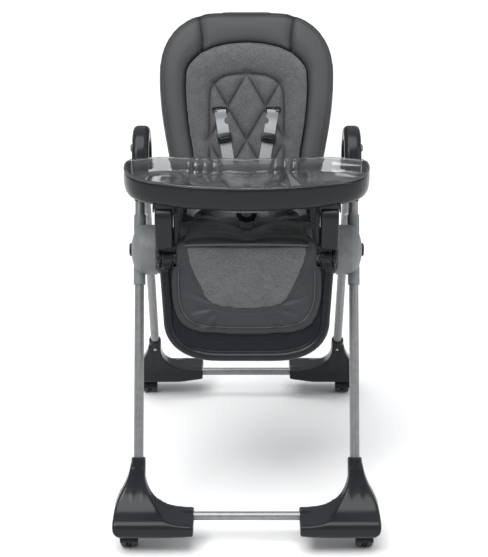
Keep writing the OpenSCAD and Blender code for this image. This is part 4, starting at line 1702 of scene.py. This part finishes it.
    def _sliders(self, normal: np.ndarray) -> None:
        """Dark frames round the straps, each with its bar.

        Args:
            normal: the direction that the backrest's face looks in.
        """
        half, lift = (0.0165, 0.0115), 0.004
        parts = []
        for sign in (-1, 1):
            line = self.strap_lines[sign]
            middle = line[len(line) * 13 // 30]
            ahead = line[len(line) * 16 // 30] - line[len(line) * 10 // 30]
            ahead /= np.linalg.norm(ahead)
            side = np.cross(ahead, normal)
            up = np.cross(side, ahead)
            turn = np.column_stack([side, ahead, up])
            rows = []
            for grow, high in ((0.0, -0.0018), (0.0006, 0.0), (0.0, 0.0022), (-0.0012, 0.003)):
                ring = superellipse((0, 0), (half[0] + grow, half[1] + grow), 4.5, 0, 350, 35)
                rows.append([(x, y, high + lift) for x, y in ring])
            points = np.array([p for row in rows for p in row]) @ turn.T + middle
            count = len(rows[0])
            faces = grid_faces(len(rows), count)
            faces += [list(range(count)), list(range(3 * count, 4 * count))]
            parts.append(from_arrays("slider", points, faces))
            bar = np.array([(x, 0.002, lift + 0.0034) for x in np.linspace(-0.012, 0.012, 12)])
            parts.append(tube_along("bar", bar @ turn.T + middle, 0.0024))
        piece = joined("slider_skins", parts)
        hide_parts("strap_sliders")
        self.paint.hand_over(piece, Slot.DARK, "backrest")


@dataclass
class LegrestParts:
    """The legrest: a glossy rim round a dark dish, a padded liner and the heather flap."""

    paint: Paintbox
    repeats: Repeats
    lean: float = math.radians(14.0)
    flap_corner: Point = (54.0, -108.0)

    def __post_init__(self) -> None:
        """Find the panel from the hinge pins."""
        low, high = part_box("legrest_pins")
        centre = (low + high) / 2
        self.panel = Panel((0.0, centre.y, centre.z), self.lean)
        self.shell_line = self._shell_outline()

    def _shell_outline(self) -> np.ndarray:
        """The shell's edge from its upper right corner round the bottom to its upper left one.

        Returns:
            The edge's points on the panel.
        """
        ring = self.panel.outline("legrest_shell")
        below = ring[ring[:, 1] < -0.0215]
        angle = np.arctan2(below[:, 0], -(below[:, 1] + 0.06))
        return below[np.argsort(-angle)]

    def _crease(self) -> tuple[tuple[float, ...], tuple[float, ...]]:
        """Two points 20 mm out from the legrest's panel, 30 mm up and down it from the hinge, in the frame.
        """
        matrix = self.panel.matrix
        return tuple(matrix @ Vector((0, -0.02, 0.03))), tuple(matrix @ Vector((0, -0.02, -0.03)))

    def build(self) -> None:
        """Make the shell, the liner and the flap."""
        self._shell()
        self._liner()
        self._flap()

    def _shell(self) -> None:
        """The moulded shell: a rounded rim and a ridged dish."""
        path = resample(self.shell_line, 150, closed=False)
        rim = [(0.0, 0.0155), (0.0, -0.006), (0.0015, -0.0115), (0.005, -0.0148), (0.0095, -0.016),
               (0.0145, -0.0152), (0.0185, -0.0125), (0.0205, -0.009), (0.0212, -0.0062), (0.0225, -0.0056)]
        dish = []
        for step in range(7):
            start = 0.025 + 0.0072 * step
            dish += [(start, -0.0054), (start + 0.002, -0.00525), (start + 0.0045, -0.00525),
                     (start + 0.0065, -0.0054)]
        section = rim + dish
        normals = inward(path, closed=False)
        if normals[len(path) // 2][1] < 0:
            normals = -normals
        rows = [self.panel.place(path + normals * d, np.full(len(path), y)) for d, y in section]
        count = len(path)
        faces = grid_faces(len(section), count, wrap=False)
        faces.append([(len(section) - 1) * count + i for i in range(count)])
        shell = from_arrays("legrest_shell_skin", np.concatenate(rows), faces)
        thick = shell.modifiers.new("wall", "SOLIDIFY")
        thick.thickness = 0.0028
        thick.offset = -1.0
        bake_modifiers(shell)
        shell.data.shade_smooth()
        ears = self._ears()
        piece = joined("legrest_skin", [shell, ears])
        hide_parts("legrest_shell")
        self.paint.hand_over(piece, Slot.DARK, "legrest")

    def _ears(self) -> bpy.types.Object:
        """The hinge barrels above the shell, with rounded edges.

        Returns:
            The barrels' object.
        """
        mesh = frame["nodes"]["legrest_shell"].data.copy()
        work = bmesh.new()
        work.from_mesh(mesh)
        bmesh.ops.remove_doubles(work, verts=work.verts, dist=WELD)
        matrix = self.panel.matrix
        cut = matrix @ Vector((0, 0, -0.03))
        everything = work.verts[:] + work.edges[:] + work.faces[:]
        made = bmesh.ops.bisect_plane(work, geom=everything, plane_co=cut, clear_inner=True,
                                      plane_no=matrix.to_3x3() @ Vector((0, 0, 1)))
        rim = [edge for edge in made["geom_cut"] if isinstance(edge, bmesh.types.BMEdge)]
        bmesh.ops.holes_fill(work, edges=rim)
        work.to_mesh(mesh)
        work.free()
        piece = add_object("ears", mesh)
        remesh(piece, 0.0022)
        relax(piece, 6)
        return piece

    def _liner(self) -> None:
        """The dark padded liner, gathered towards the flap's lower corners."""
        right = [(146, 36), (150, 10), (153, -14), (165, -27), (167, -60), (165, -95), (158, -125),
                 (146, -146), (126, -160), (98, -167), (50, -170), (0, -171)]
        ring = mirrored_rows(scaled(right))
        edge = closed_line(ring)
        corner = scaled([self.flap_corner])

        def rise(flat: np.ndarray) -> np.ndarray:
            """Height of the liner's crown, with gathers round the flap's corners.

            Args:
                flat: points on the panel, as rows of x and z.

            Returns:
                One height for each point.
            """
            fold = np.zeros(len(flat))
            for sign in (-1, 1):
                away = flat - corner[0] * (sign, 1)
                angle = np.arctan2(away[:, 1], sign * away[:, 0])
                length = np.hypot(*away.T)
                fade = np.clip(length / 0.03, 0, 1) * np.clip((0.13 - length) / 0.1, 0, 1)
                fold += 0.004 * np.sin(11 * angle + 0.6 * sign) * fade * (sign * away[:, 0] > -0.01)
            return puff(distance_to(flat, edge), 0.008, 0.02) + fold

        inner = scaled([(150, -27), (151, -60), (149, -92), (142, -118), (130, -135), (112, -147),
                        (88, -152), (45, -154), (0, -155)])
        piping = mirrored_rows(inner)
        pad = Pad("legrest_liner", self.panel, ring, -0.013, -0.003, rise=rise,
                  bend=lambda flat: 0.006 * np.clip((flat[:, 1] + 0.03) / 0.05, 0, 1),
                  seams=[Seam(piping, 0.006, 0.003)], cap=0.006)
        piece = pad.build()
        rows = [pad.on_face(piping + (0, 0.003), 0.0002)]
        line = pad.on_face(piping, 0.0004)
        pipe = tube_along("liner_piping", line, 0.0016)
        stitches = self.repeats.stitches("liner_stitches", rows, self.paint.thread, 0.0045)
        pad.put()
        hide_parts("legrest_pad")
        self.paint.paint(piece, self.paint.liner)
        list(self._crease())
        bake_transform(piece)
        self.paint.hand_over(pipe, Slot.COVER, "legrest", self.paint.piping)
        self.paint.hand_over(stitches, Slot.COVER, "legrest", self.paint.thread)

    def _flap(self) -> None:
        """The heather tongue that hangs from the seat's front over the legrest."""
        right = [(136, 37), (131, 10), (123, -17), (115, -36), (107, -55), (99, -73), (90, -89),
                 (76, -100), self.flap_corner, (20, -111), (0, -111)]
        ring = mirrored_rows(scaled(right))
        edge = closed_line(ring)

        def rise(flat: np.ndarray) -> np.ndarray:
            """Height of the flap's crown."""
            return puff(distance_to(flat, edge), 0.005, 0.012)

        def bend(flat: np.ndarray) -> np.ndarray:
            """How far the flap's top leans in over the hinge."""
            top = np.clip((flat[:, 1] + 0.02) / 0.06, 0, 1)
            return -0.006 * top ** 2

        border = inset(ring, 0.011)
        border = border[border[:, 1] < 0.02]
        order = np.argsort(np.arctan2(border[:, 0], -(border[:, 1] - 0.03)))
        border = border[order]
        # The seam across the flap's top paints a dark shade line under the seat's fold.
        pad = Pad("leg_tongue", self.panel, ring, -0.0275, -0.02, rise=rise, bend=bend,
                  seams=[Seam(border, 0.005, 0.0015, 0.0008, 0.15),
                         Seam(scaled([(-140, 33), (140, 33)]), 0.007, 0.003, 0.002, 0.9)], cap=0.005)
        piece = pad.build()
        rows = [pad.on_face(border, 0.0001)]
        stitches = self.repeats.stitches("tongue_stitches", rows, self.paint.thread)
        pad.put()
        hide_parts("leg_flap")
        start, end = self._crease()
        for part, slot, material in ((piece, Slot.HEATHER, self.paint.materials[Slot.HEATHER]),
                                     (stitches, Slot.HEATHER, None)):
            if material:
                self.paint.paint(part, material)
            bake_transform(part)
            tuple(start)
            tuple(end)


@dataclass
class TrayParts:
    """The tray's dark band with its rolled lower edge."""

    paint: Paintbox

    def build(self) -> None:
        """Make the band and its ledge."""
        band = self._swept("tray_band", [(0.0004, 0.0), (-0.0004, -0.0008), (-0.0010, -0.006),
                                         (-0.0014, -0.018), (-0.0008, -0.032), (0.0012, -0.0425),
                                         (0.0048, -0.0485), (0.0105, -0.0515), (0.0112, -0.0495),
                                         (0.0066, -0.0465), (0.004, -0.0405), (0.003, -0.031),
                                         (0.003, -0.001), (0.0022, 0.0)])
        ledge = self._swept("ledge", [(0.0024, -0.0295), (0.0024, -0.0335), (0.0125, -0.0335),
                                      (0.0125, -0.0295)])
        piece = joined("tray_band_skin", [band, ledge])
        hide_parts("tray_base")
        self.paint.hand_over(piece, Slot.DARK, "tray")
        self._insert()

    @staticmethod
    def _edge(node: str) -> np.ndarray:
        """A tray node's outline at its top, anticlockwise, all the way round.

        Args:
            node: the CAD node.

        Returns:
            Evenly spaced points on the outline.
        """
        points = coords(frame["nodes"][node].data)
        low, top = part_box(node)
        flat = points[points[:, 2] > top.z - 0.0005][:, :2]
        middle = np.array([0.0, (low.y + top.y) / 2])
        angle = np.arctan2(*(flat - middle).T[::-1])
        reach = np.hypot(*(flat - middle).T)
        kept = [i for i in np.argsort(angle)
                if reach[i] >= reach[np.abs(angle - angle[i]) < 0.03].max() - 0.0012]
        return resample(flat[kept], 320, closed=True)

    def _insert(self) -> None:
        """The clear insert: a rolled lip, stepped walls, a floor with a cup ring, and a divider."""
        low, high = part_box("clear_tray")
        mounts = {mount["name"]: mount for mount in frame["record"]["mounts"]}
        floor = mounts["tray_floor"]["pos_m"][2]
        cup = np.array(mounts["cup_recess"]["pos_m"][:2])
        cup_r = mounts["cup_recess"]["dims"].get("r_mm", 32.0) / 1000
        outline = self._edge("clear_tray")
        place = upright()
        top, wall = high.z, 0.0024
        inner = [(0.0088, top - 0.0042), (0.0095, top - 0.0125), (0.0118, top - 0.0138),
                 (0.0126, floor + 0.008), (0.0142, floor + 0.0025), (0.018, floor)]
        outer = [(0.018, floor - wall), (0.0126, floor - wall + 0.0012), (0.0104, floor + 0.003),
                 (0.0096, top - 0.0155), (0.0072, top - 0.0142), (0.0064, top - 0.0045),
                 (0.0008, top - 0.0045), (-0.0004, top - 0.003), (0.0004, top - 0.0008),
                 (0.0028, top + 0.0003), (0.0062, top - 0.0004)]
        shell = loft("walls", outline, inner + outer, True, place)
        parts = [shell, self._plate(outline, cup, cup_r + 0.0215, floor, wall)]
        ring = np.array(superellipse((0, 0), (cup_r + 0.025, cup_r + 0.025), 2.0, 0, 354, 59)) + cup
        rise = [(0.0, floor - wall), (-0.0004, floor), (0.0014, floor + 0.0055), (0.0038, floor + 0.0086),
                (0.0062, floor + 0.009), (0.0225, floor + 0.0084), (0.0246, floor + 0.006),
                (0.0252, low.z + 0.004), (0.0272, low.z + wall), (0.0548, low.z + wall), (0.0548, low.z),
                (0.0258, low.z), (0.0228, low.z + 0.003), (0.0222, floor + 0.0052),
                (0.0075, floor + 0.0058), (0.0045, floor + 0.003), (0.0038, floor - wall)]
        parts.append(loft("cup", ring, rise, True, place))
        parts.append(self._divider(floor))
        piece = joined("clear_insert", parts)
        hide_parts("clear_tray")
        self.paint.hand_over(piece, Slot.CLEAR, "clear_tray")

    @staticmethod
    def _plate(outline: np.ndarray, hole: np.ndarray, radius: float, floor: float,
               wall: float) -> bpy.types.Object:
        """The floor between the walls and the cup ring.

        Args:
            outline: the insert's outer edge.
            hole: the cup ring's middle.
            radius: the hole's radius.
            floor: the floor's height.
            wall: the floor's thickness.

        Returns:
            The plate's object.
        """
        rim = outline + inward(outline, closed=True) * 0.0178
        gone = np.array(superellipse((0, 0), (radius, radius), 2.0, 0, 354, 59)) + hole
        work = bmesh.new()
        for ring in (rim, gone):
            verts = [work.verts.new((x, y, floor)) for x, y in ring]
            for i, vert in enumerate(verts):
                work.edges.new((vert, verts[(i + 1) % len(verts)]))
        bmesh.ops.triangle_fill(work, use_beauty=True, edges=work.edges[:])
        mesh = bpy.data.meshes.new("plate")
        work.to_mesh(mesh)
        work.free()
        plate = add_object("plate", mesh, smooth=False)
        thick = plate.modifiers.new("thick", "SOLIDIFY")
        thick.thickness = wall
        thick.offset = -1.0 if plate.data.polygons[0].normal.z > 0 else 1.0
        bake_modifiers(plate)
        return plate

    @staticmethod
    def _divider(floor: float) -> bpy.types.Object:
        """A low curved wall that parts the right end of the tray from the rest.

        Args:
            floor: the height that the wall stands on.

        Returns:
            The wall's object.
        """
        path = spline([(0.066, -0.066, 0), (0.085, -0.083, 0), (0.083, -0.115, 0), (0.071, -0.155, 0),
                       (0.075, -0.200, 0), (0.098, -0.238, 0)], 70)[:, :2]
        half, tall = 0.0019, 0.0135
        section = [(-half - 0.002, -0.001), (-half, 0.003), (-half * 0.8, tall - 0.001), (0.0, tall),
                   (half * 0.8, tall - 0.001), (half, 0.003), (half + 0.002, -0.001)]
        return loft("divider", resample(path, 70, closed=False), section, False, upright(floor))

    @staticmethod
    def _path() -> np.ndarray:
        """The tray's outline from its right rear end round the front to the left one.

        Returns:
            Evenly spaced points on the outline.
        """
        points = coords(frame["nodes"]["tray_base"].data)
        low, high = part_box("tray_base")
        top = points[points[:, 2] > high.z - 0.0005][:, :2]
        middle = np.array([0.0, (low.y + high.y) / 2])
        angle = np.arctan2(*(top - middle).T[::-1])
        reach = np.hypot(*(top - middle).T)
        kept = [i for i in range(len(top))
                if reach[i] >= reach[np.abs(angle - angle[i]) < 0.03].max() - 0.0012]
        ring = top[kept]
        turn = np.arctan2(ring[:, 0], -(ring[:, 1] - middle[1]))
        ring = ring[np.argsort(turn)]
        return resample(ring, 260, closed=False)

    def _swept(self, name: str, profile: Sequence[Point]) -> bpy.types.Object:
        """A section carried round the tray, hung from its top edge."""
        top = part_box("tray_base")[1].z
        return loft(name, self._path(), profile, False, upright(top))


@dataclass(frozen=True)
class Edges:
    """Small rounded edges on the CAD mouldings that keep their own mesh."""

    nodes: tuple[str, ...]
    width: float = 0.0007

    def build(self) -> None:
        """Add a bevel to each node's edges."""
        for name in self.nodes:
            bevel = frame["nodes"][name].modifiers.new("edges", "BEVEL")
            bevel.width = self.width
            bevel.segments = 2
            bevel.limit_method = "ANGLE"
            bevel.angle_limit = math.radians(40)
            bevel.use_clamp_overlap = True


@dataclass(frozen=True)
class Studio:
    """A pale floor, soft lights and the camera."""

    floor_size: float = 30.0
    camera_place: Point3 = (-0.006, -3.135, 1.746)
    camera_tilt: float = 68.2
    lens: float = 91.65

    def build(self) -> None:
        """Make the floor, the world, the lights and the camera."""
        scene = bpy.context.scene
        world = bpy.data.worlds.new("studio")
        world.use_nodes = True
        background = world.node_tree.nodes["Background"]
        graph = Graph(world.node_tree)
        up = graph.node("SeparateXYZ", {0: graph.node("TexCoord").outputs["Generated"]}).outputs[2]
        share = graph.node("MapRange", {0: up, 1: -0.1, 2: 0.75, 3: 0.0, 4: 1.0}).outputs[0]
        sky = graph.mix(share, (0.2, 0.205, 0.21, 1.0), (0.97, 0.98, 1.0, 1.0))
        world.node_tree.links.new(sky, background.inputs[0])
        background.inputs[1].default_value = 0.66
        scene.world = world
        scene.view_settings.view_transform = "Standard"
        scene.view_settings.look = "None"
        half = self.floor_size / 2
        corners = np.array([(-half, -half, 0), (half, -half, 0), (half, half, 0), (-half, half, 0)])
        floor = from_arrays("floor", corners, [(0, 1, 2, 3)])
        material = bpy.data.materials.new("pale_floor")
        material.use_nodes = True
        shader = material.node_tree.nodes["Principled BSDF"]
        shader.inputs["Base Color"].default_value = (0.86, 0.86, 0.86, 1.0)
        shader.inputs["Roughness"].default_value = 0.9
        floor.data.materials.append(material)
        lights = [self._light("key", (-1.5, -2.0, 3.0), (1.0, 1.0), 34.0),
                  self._light("fill", (2.2, -1.0, 1.7), (0.35, 1.8), 12.0), self._sun()]
        self._camera()

    @staticmethod
    def _light(name: str, place: Point3, size: Point, power: float) -> bpy.types.Object:
        """An area light that looks at the chair.

        Args:
            name: the light's name.
            place: where it stands.
            size: its width and height.
            power: its power, in watts.

        Returns:
            The light.
        """
        data = bpy.data.lights.new(name, "AREA")
        data.shape = "RECTANGLE"
        data.size, data.size_y = size
        data.energy = power
        light = bpy.data.objects.new(name, data)
        bpy.context.scene.collection.objects.link(light)
        light.location = place
        light.rotation_euler = (Vector((0, 0, 0.55)) - Vector(place)).to_track_quat("-Z", "Y").to_euler()
        return light

    @staticmethod
    def _sun() -> bpy.types.Object:
        """A very soft light from above, which lights the whole floor evenly.

        Returns:
            The light.
        """
        data = bpy.data.lights.new("overhead", "SUN")
        data.energy = 2.75
        data.angle = math.radians(50)
        light = bpy.data.objects.new("overhead", data)
        bpy.context.scene.collection.objects.link(light)
        light.rotation_euler = (math.radians(14), math.radians(-8), 0.0)
        return light

    def _camera(self) -> None:
        """The camera in front of the chair, a little above it."""
        data = bpy.data.cameras.new("camera")
        data.lens = self.lens
        data.sensor_width = 36.0
        camera = bpy.data.objects.new("camera", data)
        bpy.context.scene.collection.objects.link(camera)
        camera.location = self.camera_place
        camera.rotation_euler = (math.radians(self.camera_tilt), 0.0, 0.0)
        bpy.context.scene.camera = camera


SIDES = ("left", "right")
CORNERS = tuple(f"{end}_{side}" for end in ("front", "rear") for side in SIDES)
BEVELLED = (
    *(f"{kind}_{side}" for kind in ("carriage", "fold_button", "height_button") for side in SIDES),
    "seat_pan", "backrest_shell", "recline_lever", "tray_rails", "tray_release", "buckle_button",
    *(f"{kind}_{corner}" for kind in ("caster_fork", "caster_wheels") for corner in CORNERS),
    *(f"brake_tab_{side}" for side in SIDES))


def main() -> None:
    """Build every sub-assembly in order."""
    logging.basicConfig(level=logging.INFO, format="%(name)s: %(message)s")
    paint = Paintbox()
    paint.dress_nodes()
    repeats = Repeats()
    FrameParts(paint).build()
    SeatParts(paint, repeats).build()
    BackrestParts(paint, repeats).build()
    LegrestParts(paint, repeats).build()
    TrayParts(paint).build()
    Edges(tuple(name for name in BEVELLED if name in frame["nodes"])).build()
    Studio().build()


if __name__ == "__main__":
    main()
